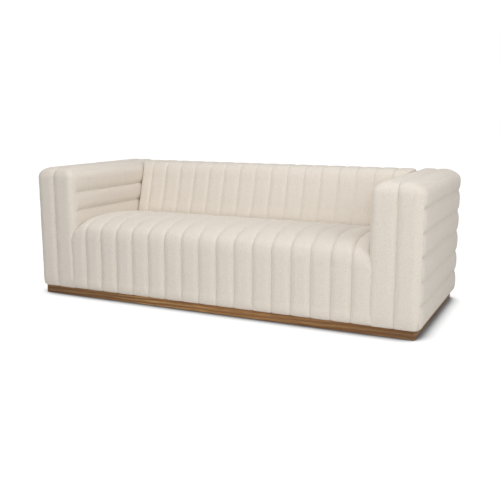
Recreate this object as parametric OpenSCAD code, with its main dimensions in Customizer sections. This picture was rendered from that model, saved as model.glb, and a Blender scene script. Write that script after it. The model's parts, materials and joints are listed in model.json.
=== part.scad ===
// Channel-quilted tuxedo sofa on a low timber plinth, in millimetres.
// +X runs along the sofa to the right as seen from the front, the front faces -Y, and +Z is up.
// The origin is at the middle of the footprint, on the floor.

/* [Overall] */
// Width across both arms
sofa_w = 2316; // [1900:2:2700]
// Depth from the front of the seat to the outer back
sofa_d = 980; // [930:2:1080]
// Height to the crowns on top of the arms and back
sofa_h = 762; // [730:1:830]

/* [Plinth] */
// Height of the plinth's timber rails
plinth_rail_h = 47; // [40:1:80]
// Thickness of the plinth's rails
plinth_t = 38; // [32:1:46]
// How far the plinth stands back from the upholstery at the front and rear
plinth_inset = 18; // [10:1:28]
// How far the plinth stands back from the upholstery at the sides
plinth_side_inset = 30; // [22:1:40]
// Rounding of the plinth's upright corners
plinth_corner_r = 12; // [4:1:20]
// Length of a plinth corner block along each rail
plinth_block = 90; // [70:1:120]
// Width of the bearers that cross the plinth
bearer_w = 38; // [30:1:60]
// Height of the bearers that cross the plinth
bearer_h = 40; // [34:1:46]
// Height of the felt glides
glide_h = 3; // [2:0.5:6]
// Diameter of the felt glides
glide_d = 30; // [20:1:32]
// Thickness of the dust cover under the frame
dust_t = 1.5; // [1:0.5:3]

/* [Channels] */
// Number of channels across the seat and back
seat_channels = 17; // [9:2:25]
// Number of channels up the side of each arm
side_channels = 6; // [4:1:8]
// How far the middle of a channel stands above its seams
channel_rise = 12; // [8:1:14]
// How far the seams dip below the crowns on the tops of the arms and back
top_dip = 7; // [4:1:10]
// Half the width of the dip beside the seam on top of an arm
dip_w = 26; // [16:1:34]
// Thickness of the quilted cover at a seam
quilt_t = 10; // [7:1:13]
// How much shorter the uppermost channel is on the outer side of an arm, below the shoulder
top_channel_cut = 49; // [20:1:60]
// How much shorter the uppermost channel is on the inner side of an arm, below the shoulder
inner_channel_cut = 30; // [10:1:40]

/* [Arms] */
// Width of an arm from its outer side to the seam beside the seat's front
arm_w = 242; // [230:1:260]
// Width of the arm channel nearest the seat
arm_channel_w = 108; // [96:1:116]
// Rounding of the outer upright corners
arm_corner_r = 34; // [28:1:40]
// Rounding of the upright edges beside the seat
arm_inner_r = 30; // [24:1:34]
// Rounding of the top edges at the front and rear of an arm
arm_top_r = 46; // [40:1:50]
// Height of the shoulders that lead from an arm's sides to its top
edge_drop = 50; // [38:1:52]
// Width of the shoulders that lead from an arm's sides to its top
shoulder_w = 66; // [50:1:68]

/* [Seat] */
// Height of the seams at the highest part of the seat
seat_h = 471; // [440:1:500]
// Height taken by the rounded front border
seat_shoulder = 87; // [70:1:100]
// How far the seat sinks beside the arms
seat_end_drop = 22; // [10:1:30]
// Height of the springs, foam and cover above the seat rails
seat_build = 171.5; // [160:0.5:190]
// Gap between the seat or back and what it lies against
side_gap = 2; // [1:0.5:3]

/* [Back] */
// Depth of the back at its foot
back_depth = 325; // [300:1:350]
// How far the foot of the back lies below the top of the seat
crease_drop = 21; // [15:1:40]
// Lean of the back from upright, in degrees
back_lean = 16; // [10:1:18]
// Rounding of the front top edge of the back
back_top_r = 60; // [40:1:70]
// Rounding of the rear top edge of the back
back_rear_r = 28; // [20:1:34]
// Thickness of the back foam
back_foam_t = 65; // [50:1:75]
// Number of plywood ribs in the back
back_ribs = 5; // [3:1:7]
// Number of elastic straps in the back
back_straps = 12; // [6:1:16]
// Width of an elastic strap
strap_w = 50; // [30:1:60]
// Thickness of an elastic strap
strap_t = 3; // [2:0.5:4]
// Height of the rails that hold the straps
strap_rail_h = 80; // [60:1:90]

/* [Frame] */
// Thickness of the arm boards
board_t = 22; // [18:1:25]
// Thickness of the seat and back rails
rail_t = 25; // [20:1:28]
// Thickness of the arm side panels
panel_t = 9; // [6:1:12]
// Thickness of the fibreboard over the outer back
backboard_t = 6; // [4:1:8]
// Thickness of the foam sheet over the wood
pad_t = 12; // [8:1:14]
// Number of stretchers under the seat, each over a plinth bearer
stretchers = 3; // [2:1:4]
// Height of the stretchers
stretcher_h = 110; // [80:1:140]
// Length of a seat corner block along each rail
seat_block = 100; // [70:1:130]
// Height of a seat corner block
seat_block_h = 45; // [30:1:60]

/* [Springs] */
// Number of zigzag springs
springs = 14; // [8:1:18]
// Bars in each spring
spring_bars = 9; // [7:2:17]
// Width of a spring
spring_w = 50; // [40:1:60]
// Thickness of the spring wire
wire_d = 4; // [3:0.5:5]
// Width of a spring clip
clip_w = 24; // [16:1:30]
// Depth of a spring clip on its rail
clip_d = 18; // [14:1:20]
// Thickness of a spring clip's plate
clip_t = 1.5; // [1:0.5:2]
// Number of tie wires across the springs
tie_wires = 2; // [1:1:4]
// Diameter of a tie wire
tie_d = 3; // [2:0.5:4]
// Thickness of the felt pad over the springs
deck_pad_t = 8; // [5:1:12]

/* [Fasteners] */
// Diameter of the arm bolts
bolt_d = 10; // [8:1:12]
// Height of the arm bolts above the foot of the frame
bolt_rise = 150; // [130:1:190]
// Distance along a seat side rail from a corner block to the arm bolt beside it
bolt_inset = 22; // [18:1:40]
// Height of a bolt head
bolt_head_h = 6.5; // [5:0.5:8]
// Diameter of a bolt washer
washer_d = 24; // [22:1:30]
// Thickness of a bolt washer
washer_t = 2; // [1:0.5:3]
// Diameter of a barrel nut's flange
nut_flange_d = 26; // [22:1:32]
// Thickness of a barrel nut's flange
nut_flange_t = 2; // [1.5:0.5:3]
// Wall of a barrel nut
nut_wall = 1.5; // [1:0.5:2]
// How far a bolt's tip passes its nut
bolt_tip = 4; // [2:1:8]
// Diameter of the plinth screws
screw_d = 5; // [4:0.5:6]
// Diameter of a screw head
screw_head_d = 10; // [9:0.5:12]
// Height of a screw head
screw_head_h = 3; // [2:0.5:4]
// Depth of a plinth screw in the frame above
screw_bite = 16; // [12:1:18]
// Length of a plinth screw in the plinth
screw_grip = 30; // [24:1:32]
// Distance of the corner screws from the inner faces of the plinth
screw_inset = 28; // [20:1:32]

/* [Hidden] */
// Clearance between pieces that lie on one another
fit_gap = 0.3;
// Clearance round a screw or nut in its hole
hole_gap = 0.1;
// Clearance round a bolt in its hole
bolt_gap = 0.5;
// How far a cut runs past the face that it opens
overrun = 5;
// Segments of a drilled hole or round fastener
round_fn = 24;
// Segments of a wood screw and its hole
screw_fn = 12;
// Segments of a quarter turn on the upholstery
arc_n = 3;

// Across one channel: share of its width, and share of its rise
scallop_shares = [[0, 0], [0.16, 0.72], [0.5, 1], [0.84, 0.72]];
// Along the seat from front to back: share of its depth, and share of its shoulder below the top
seat_shares = [
    [0, 1], [0.02, 0.62], [0.048, 0.46], [0.1, 0.28], [0.18, 0.11], [0.29, 0.035], [0.43, 0],
    [0.64, 0.14], [0.84, 0.3], [0.93, 0.38], [1, 0.52],
];
// Across the dip on top of an arm: share of its half width, and share of its depth
dip_shares = [[-1, 0], [-0.4, 0.4], [0, 1], [0.4, 0.4], [1, 0]];
// Places of the screws along a stretcher
bearer_screw_shares = [0.3, 0.8];

// Levels from the outside in: crown of the channels, seams, inner face of the cover, and wood
crown_x = sofa_w / 2;
seam_x = crown_x - channel_rise;
lining_x = seam_x - quilt_t;
wood_x = lining_x - pad_t;
crown_y = sofa_d / 2;
seam_y = crown_y - channel_rise;
lining_y = seam_y - quilt_t;
wood_y = lining_y - pad_t;
top_seam_z = sofa_h - top_dip;
top_lining_z = top_seam_z - quilt_t;
wood_top_z = top_lining_z - pad_t;
edge_z = sofa_h - edge_drop;

// Floor upwards: plinth, dust cover, frame, spring deck and seat foam
plinth_z = glide_h + plinth_rail_h;
base_z = plinth_z + dust_t;
deck_z = seat_h - seat_build;
wire_z = deck_z + clip_t + fit_gap;
clip_top_z = wire_z + wire_d + fit_gap + clip_t;
deck_pad_z = clip_top_z + fit_gap;
foam_z = deck_pad_z + deck_pad_t + fit_gap;
crease_z = seat_h - crease_drop;

// Inner side of an arm: front seam beside the seat, crown, lining and wood
gap_x = crown_x - arm_w;
inner_x = gap_x - arm_inner_r;
inner_lining_x = inner_x + channel_rise + quilt_t;
inner_wood_x = inner_lining_x + pad_t;
arm_seam_x = gap_x + arm_channel_w;

// Seat between the arms, from the front rail to the rear rail
seat_x = inner_x - side_gap;
back_face_y = crown_y - back_depth;
seat_end_y = back_face_y - side_gap;
rear_rail_y = back_face_y + channel_rise;
pitch = 2 * gap_x / seat_channels;
spring_front_y = -wood_y;
spring_rear_y = rear_rail_y + rail_t;

// Plinth outline
plinth_x = crown_x - plinth_side_inset;
plinth_y = crown_y - plinth_inset;
plinth_in_x = plinth_x - plinth_t;
plinth_in_y = plinth_y - plinth_t;

// Back layers behind its crowned face
back_lining = channel_rise + quilt_t;
strap_face = back_lining + back_foam_t;
rail_face = strap_face + strap_t;
rib_face = rail_face + rail_t;
rib_top_z = wood_top_z - rail_t;
back_panel_y = wood_y - backboard_t;

fabric_colour = "#e3dcd1";
plinth_colour = "#9b6c43";
timber_colour = "#d9b98a";
plywood_colour = "#c8a473";
foam_colour = "#f0e6c0";
steel_colour = "#a9adb0";
felt_colour = "#6d6a66";
black_colour = "#2b2b2b";

function mix(a, b, share) = a + (b - a) * share;
function oval(cx, cy, rx, ry, from, to) =
    [for (i = [0:arc_n]) let (a = mix(from, to, i / arc_n)) [cx + rx * cos(a), cy + ry * sin(a)]];
function arc(cx, cy, r, from, to) = oval(cx, cy, r, r, from, to);
function reversed(points) = [for (i = [len(points) - 1:-1:0]) points[i]];

// Box between two ends on each axis
module block(x, y, z) {
    translate([x[0], y[0], z[0]]) cube([x[1] - x[0], y[1] - y[0], z[1] - z[0]]);
}

// Extrudes an outline drawn in Y and Z along X
module along_x(length) {
    rotate([90, 0, 90]) linear_extrude(height = length, center = true) children();
}

// Extrudes an outline drawn in X and Z along Y
module along_y(length) {
    rotate([90, 0, 0]) linear_extrude(height = length, center = true) children();
}

// Cylinder along X from one place to another
module rod_x(from, to, d, sides = round_fn) {
    translate([from, 0, 0]) rotate([0, 90, 0]) cylinder(h = to - from, d = d, $fn = sides);
}

// A pair of pieces, one on each side of the middle
module both_sides() {
    children();
    mirror([1, 0, 0]) children();
}

// Plinth

function plinth_corner(sx, sy) = [
    for (p = arc(plinth_x - plinth_corner_r, plinth_y - plinth_corner_r, plinth_corner_r, 0, 90))
        [sx * p[0], sy * p[1]]
];

module plinth_outline() {
    translate([0, 0, glide_h]) linear_extrude(height = plinth_rail_h) polygon(concat(
        plinth_corner(1, 1), reversed(plinth_corner(-1, 1)),
        plinth_corner(-1, -1), reversed(plinth_corner(1, -1))
    ));
}

module plinth_long_rail() {
    color(plinth_colour) intersection() {
        plinth_outline();
        block([-crown_x, crown_x], [plinth_in_y, crown_y], [0, base_z]);
    }
}

module plinth_side_rail() {
    color(plinth_colour) block([plinth_in_x, plinth_x], [-plinth_in_y, plinth_in_y], [glide_h, plinth_z]);
}

module plinth_front_rail() { mirror([0, 1, 0]) plinth_long_rail(); }
module plinth_rear_rail() { plinth_long_rail(); }
module plinth_left_rail() { mirror([1, 0, 0]) plinth_side_rail(); }
module plinth_right_rail() { plinth_side_rail(); }

function stretcher_place(i) = mix(-seat_x, seat_x, (i + 1) / (stretchers + 1));
function stretcher_y(share) = mix(rail_t - wood_y, rear_rail_y, share);

corner_screws = [
    for (sx = [-1, 1], sy = [-1, 1]) [sx * (plinth_in_x - screw_inset), sy * (plinth_in_y - screw_inset)]
];
bearer_screws = [
    for (i = [0:stretchers - 1], share = bearer_screw_shares) [stretcher_place(i), stretcher_y(share)]
];

// Screws, or with a gap the holes for them, that open downwards
module upright_screws(places, gap = 0) {
    head_z = plinth_z - screw_grip;
    mouth = gap > 0 ? plinth_rail_h : 0;
    for (p = places) translate([p[0], p[1], 0]) {
        translate([0, 0, head_z]) cylinder(
            h = base_z + screw_bite - head_z, d = screw_d + 2 * gap, $fn = screw_fn
        );
        translate([0, 0, head_z - mouth]) cylinder(
            h = screw_head_h + mouth, d = screw_head_d + 2 * gap, $fn = screw_fn
        );
    }
}

module plinth_screws() {
    color(steel_colour) upright_screws(concat(corner_screws, bearer_screws));
}

module plinth_corner_blocks() {
    color(timber_colour) difference() {
        for (sx = [0, 1], sy = [0, 1]) mirror([sx, 0, 0]) mirror([0, sy, 0])
            translate([0, 0, glide_h]) linear_extrude(height = plinth_rail_h) polygon([
                [plinth_in_x, plinth_in_y],
                [plinth_in_x - plinth_block, plinth_in_y],
                [plinth_in_x, plinth_in_y - plinth_block],
            ]);
        upright_screws(corner_screws, hole_gap);
    }
}

module plinth_bearers() {
    color(timber_colour) difference() {
        for (i = [0:stretchers - 1]) let (x = stretcher_place(i)) block(
            [x - bearer_w / 2, x + bearer_w / 2],
            [-plinth_in_y, plinth_in_y],
            [plinth_z - bearer_h, plinth_z]
        );
        upright_screws(bearer_screws, hole_gap);
    }
}

glide_columns = 5;
glide_y = plinth_y - plinth_t / 2;
glide_x = plinth_x - plinth_t / 2;

module felt_glides() {
    color(felt_colour) for (i = [0:glide_columns - 1], sy = [-1, 1])
        translate([mix(-glide_x, glide_x, i / (glide_columns - 1)), sy * glide_y, 0])
            cylinder(h = glide_h, d = glide_d, $fn = round_fn);
}

module dust_cover() {
    color(black_colour) difference() {
        block([-wood_x, wood_x], [-wood_y, wood_y], [plinth_z, base_z]);
        upright_screws(concat(corner_screws, bearer_screws), hole_gap);
    }
}

// Seat frame

module arm_bolt_places() {
    reach = seat_block + bolt_inset;
    for (y = [rail_t - wood_y + reach, rear_rail_y - reach])
        translate([0, y, base_z + bolt_rise]) children();
}

module seat_cross_rail(y) {
    color(plywood_colour) block([-seat_x, seat_x], [y, y + rail_t], [base_z, deck_z]);
}

module seat_front_rail() { seat_cross_rail(-wood_y); }
module seat_rear_rail() { seat_cross_rail(rear_rail_y); }

module seat_side_rail() {
    color(plywood_colour) difference() {
        block([seat_x - rail_t, seat_x], [rail_t - wood_y, rear_rail_y], [base_z, deck_z]);
        arm_bolt_places() rod_x(seat_x - rail_t - overrun, seat_x + overrun, bolt_d + 2 * bolt_gap);
    }
}

module seat_left_rail() { mirror([1, 0, 0]) seat_side_rail(); }
module seat_right_rail() { seat_side_rail(); }

module seat_stretchers() {
    color(timber_colour) difference() {
        for (i = [0:stretchers - 1]) let (x = stretcher_place(i)) block(
            [x - rail_t / 2, x + rail_t / 2],
            [rail_t - wood_y, rear_rail_y],
            [base_z, base_z + stretcher_h]
        );
        upright_screws(bearer_screws, hole_gap);
    }
}

module seat_corner_blocks() {
    x = seat_x - rail_t;
    ends = [[rail_t - wood_y, seat_block], [rear_rail_y, -seat_block]];
    color(timber_colour) both_sides() for (end = ends)
        translate([0, 0, deck_z - 2 * seat_block_h]) linear_extrude(height = seat_block_h)
            polygon([[x, end[0]], [x - seat_block, end[0]], [x, end[0] + end[1]]]);
}

// Springs

spring_place = [
    for (i = [0:springs - 1]) mix(spring_w - seat_x, seat_x - spring_w, i / (springs - 1))
];
bar_front_y = spring_front_y + clip_d / 2;
bar_rear_y = spring_rear_y - clip_d / 2;
bar_step = (bar_rear_y - bar_front_y) / (spring_bars - 1);

// Centreline of a zigzag spring: bars across it, joined at alternate ends
spring_line = [
    for (i = [0:spring_bars - 1], end = [-1, 1])
        [end * (i % 2 == 0 ? 1 : -1) * spring_w / 2, bar_front_y + i * bar_step]
];

function unit(v) = v / norm(v);
function turned(v) = [-v[1], v[0]];
function heading(line, i) = unit(line[min(i + 1, len(line) - 1)] - line[min(i, len(line) - 2)]);
function mitre(line, i, half) = let (
    before = turned(heading(line, max(i - 1, 0))),
    after = turned(heading(line, i)),
    both = before + after
) line[i] + both * half * 2 / (both * both);
function ribbon(line, half) = concat(
    [for (i = [0:len(line) - 1]) mitre(line, i, half)],
    [for (i = [len(line) - 1:-1:0]) mitre(line, i, -half)]
);

module seat_springs() {
    color(steel_colour) for (x = spring_place) translate([x, 0, wire_z])
        linear_extrude(height = wire_d) polygon(ribbon(spring_line, wire_d / 2));
}

// Clip that lies on its rail and folds over the last bar of a spring
module spring_clip() {
    fold = clip_d / 2 - wire_d;
    color(steel_colour) along_x(clip_w) polygon([
        [-clip_d / 2, deck_z], [clip_d / 2, deck_z], [clip_d / 2, deck_z + clip_t],
        [clip_t - clip_d / 2, deck_z + clip_t], [clip_t - clip_d / 2, clip_top_z - clip_t],
        [fold, clip_top_z - clip_t], [fold, clip_top_z], [-clip_d / 2, clip_top_z],
    ]);
}

module spring_clips() {
    for (x = spring_place) {
        translate([x, bar_front_y, 0]) spring_clip();
        translate([x, bar_rear_y, 0]) mirror([0, 1, 0]) spring_clip();
    }
}

module spring_tie_wires() {
    reach = seat_x - rail_t - fit_gap;
    color(steel_colour) for (i = [1:tie_wires])
        translate([0, mix(bar_front_y, bar_rear_y, i / (tie_wires + 1)), wire_z - fit_gap - tie_d / 2])
            rod_x(-reach, reach, tie_d, 8);
}

module deck_pad() {
    color(felt_colour) block(
        [-seat_x, seat_x], [-wood_y, spring_rear_y], [deck_pad_z, deck_pad_z + deck_pad_t]
    );
}

// Quilted covers of the seat and back

// Half width at a given depth, where the seat or back meets the rounded arm
function end_x(y) = let (past = max(0, abs(y) - seam_y + arm_inner_r)) (
    past >= arm_inner_r ? gap_x : gap_x - sqrt(arm_inner_r * arm_inner_r - past * past)
) - side_gap;
function channel_edge(k, y) =
    k == 0 ? -end_x(y) : k == seat_channels ? end_x(y) : (k - seat_channels / 2) * pitch;

// Columns of points across the channels: channel, share of its width, and share of its rise
columns = concat(
    [for (k = [0:seat_channels - 1], s = scallop_shares) [k, s[0], s[1]]],
    [[seat_channels - 1, 1, 0]]
);

// Outward direction of a row, from the rows beside it. A profile's first and last are given.
function outward(rows, i, first, last) =
    i == 0 ? first : i == len(rows) - 1 ? last :
    let (along = unit([rows[i + 1][0] - rows[i - 1][0], rows[i + 1][1] - rows[i - 1][1]])) turned(along);

// How much of the drop beside the arms reaches a place
function sink(x) = pow(max(0, min(1, (abs(x) - gap_x + pitch) / (inner_x - gap_x + pitch))), 2);

// Rows hold depth, height, rise of the channels, and drop beside the arms
function lining(rows, first, last) = [
    for (i = [0:len(rows) - 1]) let (out = outward(rows, i, first, last), r = rows[i])
        [r[0] - out[0] * quilt_t, r[1] - out[1] * quilt_t - r[3]]
];

function outer_point(rows, i, column, first, last) = let (
    r = rows[i],
    out = outward(rows, i, first, last),
    left = channel_edge(column[0], r[0]),
    right = channel_edge(column[0] + 1, r[0]),
    x = mix(left, right, column[1]),
    bulge = r[2] * column[2]
) [x, r[0] + out[0] * bulge, r[1] + out[1] * bulge - r[3] * sink(x)];

function two_triangles(a, b, c, d) = [[a, b, c], [a, c, d]];

// Triangles that close row i: one fan in each channel's bulge, and one over the strip behind the seams
function cap(n, m, i, left, right) = let (steps = len(scallop_shares)) concat(
    [for (c = [0:steps:m - 2], k = [1:steps - 1]) [c * n + i, (c + k) * n + i, (c + k + 1) * n + i]],
    [for (c = [0:steps:m - 2]) [left + i, c * n + i, (c + steps) * n + i]],
    [[left + i, (m - 1) * n + i, right + i]]
);

module quilt(rows, first, last) {
    n = len(rows);
    m = len(columns);
    inner = lining(rows, first, last);
    outer_points = [for (column = columns, i = [0:n - 1]) outer_point(rows, i, column, first, last)];
    inner_points = [for (side = [-1, 1], p = inner) [side * end_x(p[0]), p[0], p[1]]];
    left = m * n;
    right = left + n;
    outer_faces = [
        for (c = [0:m - 2], i = [0:n - 2])
            each two_triangles(c * n + i, c * n + i + 1, (c + 1) * n + i + 1, (c + 1) * n + i)
    ];
    inner_faces = [
        for (i = [0:n - 2]) each two_triangles(left + i, right + i, right + i + 1, left + i + 1)
    ];
    left_faces = [for (i = [0:n - 2]) each two_triangles(i, left + i, left + i + 1, i + 1)];
    last_column = (m - 1) * n;
    right_faces = [
        for (i = [0:n - 2])
            each two_triangles(last_column + i, last_column + i + 1, right + i + 1, right + i)
    ];
    color(fabric_colour) polyhedron(
        points = concat(outer_points, inner_points),
        faces = concat(
            outer_faces, inner_faces, left_faces, right_faces,
            cap(n, m, 0, left, right), [for (f = cap(n, m, n - 1, left, right)) reversed(f)]
        )
    );
}

to_front = [-1, 0];
to_rear = [1, 0];
upward = [0, 1];

seat_rows = concat(
    [[-seam_y, base_z, channel_rise, 0]],
    [for (s = seat_shares) [
        mix(-seam_y, seat_end_y, s[0]), seat_h - s[1] * seat_shoulder, channel_rise, seat_end_drop
    ]]
);

module seat_cover() { quilt(seat_rows, to_front, upward); }

module seat_foam() {
    top = [for (p = lining(seat_rows, to_front, upward)) if (p[1] > foam_z) p];
    color(foam_colour) along_x(2 * seat_x) polygon(concat(
        [[-lining_y, foam_z]], top, [[seat_end_y, foam_z]]
    ));
}

module seat_front_pad() {
    color(foam_colour) block([-seat_x, seat_x], [-lining_y, -wood_y], [base_z, foam_z]);
}

// Back

// Depth of the crowned face of the back at a height
function face_y(z) = back_face_y + max(0, z - crease_z) * tan(back_lean);

back_arc_z = top_seam_z - back_top_r;
back_tangent_z = back_arc_z + back_top_r * sin(back_lean);
back_arc_y = face_y(back_tangent_z) + channel_rise + back_top_r * cos(back_lean);
face_middle_z = mix(crease_z, back_tangent_z, 0.5);

front_round = arc(back_arc_y, back_arc_z, back_top_r, 180 - back_lean, 90);
rear_round = arc(seam_y - back_rear_r, top_seam_z - back_rear_r, back_rear_r, 90, 0);

back_rows = concat(
    [for (z = [foam_z, crease_z, face_middle_z]) [face_y(z) + channel_rise, z, channel_rise, 0]],
    [for (i = [0:arc_n]) [front_round[i][0], front_round[i][1], mix(channel_rise, top_dip, i / arc_n), 0]],
    [for (i = [0:arc_n]) [rear_round[i][0], rear_round[i][1], mix(top_dip, channel_rise, i / arc_n), 0]],
    [[seam_y, base_z, channel_rise, 0]]
);

module back_cover() { quilt(back_rows, to_front, to_rear); }

// Leaning layer of the back between two heights and two depths behind its face
module leaning(low_z, high_z, near, far, length) {
    along_x(length) polygon([
        [face_y(low_z) + near, low_z], [face_y(low_z) + far, low_z],
        [face_y(high_z) + far, high_z], [face_y(high_z) + near, high_z],
    ]);
}

// Where the leaning rails end below the top rail, and the top rail's front edge
rail_top_z = rib_top_z;
top_rail_y = face_y(wood_top_z) + rail_face;

module back_foam() {
    face = [
        for (p = lining(back_rows, to_front, to_rear)) if (p[0] < top_rail_y && p[1] > crease_z + overrun) p
    ];
    color(foam_colour) along_x(2 * seat_x) polygon(concat(
        [[face_y(foam_z) + back_lining, foam_z], [face_y(crease_z) + back_lining, crease_z]],
        face,
        [
            [top_rail_y, top_lining_z], [face_y(wood_top_z) + strap_face, wood_top_z],
            [face_y(crease_z) + strap_face, crease_z], [face_y(foam_z) + strap_face, foam_z],
        ]
    ));
}

module back_upper_strap_rail() {
    color(timber_colour) leaning(rail_top_z - strap_rail_h, rail_top_z, rail_face, rib_face, 2 * seat_x);
}

module back_lower_strap_rail() {
    color(timber_colour) leaning(foam_z, foam_z + strap_rail_h, rail_face, rib_face, 2 * seat_x);
}

module back_straps_set() {
    color(black_colour) for (i = [0:back_straps - 1])
        translate([mix(strap_w - seat_x, seat_x - strap_w, i / (back_straps - 1)), 0, 0]) {
            leaning(crease_z, rail_top_z - fit_gap, strap_face + fit_gap, rail_face, strap_w);
            leaning(foam_z + fit_gap, crease_z, strap_face + fit_gap, rail_face, strap_w);
        }
}

module back_rib() {
    color(plywood_colour) along_x(rail_t) polygon([
        [spring_rear_y, base_z], [back_panel_y, base_z], [back_panel_y, rib_top_z],
        [face_y(rib_top_z) + rib_face, rib_top_z], [face_y(crease_z) + rib_face, crease_z],
        [face_y(foam_z) + rib_face, foam_z], [face_y(foam_z) + rib_face, deck_z],
        [spring_rear_y, deck_z],
    ]);
}

rib_x = seat_x - rail_t / 2;

module back_right_rib() { translate([rib_x, 0, 0]) back_rib(); }
module back_left_rib() { mirror([1, 0, 0]) back_right_rib(); }
module back_middle_ribs() {
    for (i = [1:back_ribs - 2]) translate([mix(-rib_x, rib_x, i / (back_ribs - 1)), 0, 0]) back_rib();
}

module back_top_rail() {
    color(timber_colour) block([-seat_x, seat_x], [top_rail_y, back_panel_y], [rib_top_z, wood_top_z]);
}

module back_board() {
    color(plywood_colour) block([-seat_x, seat_x], [back_panel_y, wood_y], [base_z, wood_top_z]);
}

module back_top_pad() {
    color(foam_colour) block([-seat_x, seat_x], [top_rail_y, wood_y], [wood_top_z, top_lining_z - fit_gap]);
}

module back_outer_pad() {
    color(foam_colour) block([-seat_x, seat_x], [wood_y, lining_y - fit_gap], [base_z, wood_top_z]);
}

// Arms, drawn on the right and mirrored to the left

// Edges of the channels up the outer and inner sides of an arm
outer_step = (edge_z - base_z + top_channel_cut) / side_channels;
outer_edges = [for (k = [0:side_channels]) k < side_channels ? base_z + k * outer_step : edge_z];
inner_step = (edge_z - base_z + inner_channel_cut) / side_channels;
inner_edges = [for (k = [0:side_channels]) k < side_channels ? base_z + k * inner_step : edge_z];

// Points along a run of channels: place, and share of the rise
function run(edges) = concat(
    [for (k = [0:len(edges) - 2], s = scallop_shares) [mix(edges[k], edges[k + 1], s[0]), s[1]]],
    [[edges[len(edges) - 1], 0]]
);

// The same without the upper half of the last channel, which runs on over a shoulder
function open_run(edges) = let (n = len(edges) - 1) [
    for (p = run(edges)) if (p[0] < mix(edges[n - 1], edges[n], 0.5)) p
];

// Section across an arm: inner side, top with its middle seam, and outer side
module arm_section() {
    inner_side = [for (p = open_run(inner_edges)) [inner_x + channel_rise * (1 - p[1]), p[0]]];
    outer_side = [for (p = open_run(outer_edges)) [seam_x + channel_rise * p[1], p[0]]];
    top_left = oval(inner_x + shoulder_w, edge_z, shoulder_w, edge_drop, 180, 90);
    top_right = oval(crown_x - shoulder_w, edge_z, shoulder_w, edge_drop, 90, 0);
    dip = [for (s = dip_shares) [arm_seam_x + s[0] * dip_w, sofa_h - s[1] * top_dip]];
    polygon(concat(inner_side, top_left, dip, top_right, reversed(outer_side)));
}

// Front half of the plan of an arm, from its inner side to its outer side
arm_plan_front = concat(
    reversed(arc(gap_x, arm_inner_r - seam_y, arm_inner_r, 270, 180)),
    [for (p = run([gap_x, arm_seam_x, crown_x])) if (p[0] > gap_x && p[0] < crown_x - arm_corner_r)
        [p[0], -seam_y - channel_rise * p[1]]],
    arc(crown_x - arm_corner_r, arm_corner_r - crown_y, arm_corner_r, 270, 360)
);

module arm_plan() {
    polygon(concat(arm_plan_front, reversed([for (p = arm_plan_front) [p[0], -p[1]]])));
}

// Side view of an arm with its rounded top edges
module arm_side() {
    rear = arc(crown_y - arm_top_r, sofa_h - arm_top_r, arm_top_r, 0, 90);
    polygon(concat(
        [[-crown_y, base_z], [crown_y, base_z]], rear, reversed([for (p = rear) [-p[0], p[1]]])
    ));
}

// Outline round the boards and their padding between two places, with the padding's rounded top edges
function wrapped(near, far, low) = concat(
    [[near - pad_t, low]], arc(near, wood_top_z, pad_t, 180, 90),
    arc(far, wood_top_z, pad_t, 90, 0), [[far + pad_t, low]]
);

module arm_filling(low) {
    intersection() {
        along_y(sofa_d) polygon(wrapped(inner_wood_x, wood_x, low));
        along_x(sofa_w) polygon(wrapped(-wood_y, wood_y, low));
    }
}

module arm_cover() {
    color(fabric_colour) difference() {
        intersection() {
            along_y(sofa_d) arm_section();
            linear_extrude(height = sofa_h) arm_plan();
            along_x(sofa_w) arm_side();
        }
        arm_filling(0);
        arm_bolt_places() rod_x(seat_x, inner_wood_x, bolt_d + 2 * bolt_gap);
    }
}

module arm_padding() {
    color(foam_colour) difference() {
        arm_filling(base_z);
        block([inner_wood_x, wood_x], [-wood_y, wood_y], [0, wood_top_z]);
        arm_bolt_places() rod_x(inner_lining_x - overrun, inner_wood_x + overrun, bolt_d + 2 * bolt_gap);
    }
}

module arm_end_board(y) {
    color(plywood_colour) block([inner_wood_x, wood_x], [y, y + board_t], [base_z, wood_top_z]);
}

panel_y = wood_y - board_t;

module arm_inner_panel() {
    color(plywood_colour) difference() {
        block([inner_wood_x, inner_wood_x + panel_t], [-panel_y, panel_y], [base_z, wood_top_z]);
        arm_bolt_places() rod_x(
            inner_wood_x - overrun, inner_wood_x + panel_t + overrun, nut_bore_d + 2 * hole_gap
        );
    }
}

module arm_outer_panel() {
    color(plywood_colour) block([wood_x - panel_t, wood_x], [-panel_y, panel_y], [base_z, wood_top_z]);
}

module arm_flat_board(z) {
    color(timber_colour) difference() {
        block([inner_wood_x + panel_t, wood_x - panel_t], [-panel_y, panel_y], [z, z + board_t]);
        upright_screws(corner_screws, hole_gap);
    }
}

module right_arm_front_board() { arm_end_board(-wood_y); }
module right_arm_rear_board() { arm_end_board(wood_y - board_t); }
module right_arm_inner_panel() { arm_inner_panel(); }
module right_arm_outer_panel() { arm_outer_panel(); }
module right_arm_top_board() { arm_flat_board(wood_top_z - board_t); }
module right_arm_bottom_board() { arm_flat_board(base_z); }
module right_arm_padding() { arm_padding(); }
module right_arm_cover() { arm_cover(); }

module left_arm_front_board() { mirror([1, 0, 0]) right_arm_front_board(); }
module left_arm_rear_board() { mirror([1, 0, 0]) right_arm_rear_board(); }
module left_arm_inner_panel() { mirror([1, 0, 0]) arm_inner_panel(); }
module left_arm_outer_panel() { mirror([1, 0, 0]) arm_outer_panel(); }
module left_arm_top_board() { mirror([1, 0, 0]) right_arm_top_board(); }
module left_arm_bottom_board() { mirror([1, 0, 0]) right_arm_bottom_board(); }
module left_arm_padding() { mirror([1, 0, 0]) arm_padding(); }
module left_arm_cover() { mirror([1, 0, 0]) arm_cover(); }

// Bolts that hold the arms to the seat frame

nut_bore_d = bolt_d + 2 * (hole_gap + nut_wall);
bolt_seat_x = seat_x - rail_t - washer_t;
nut_face_x = inner_wood_x + panel_t;

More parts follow.
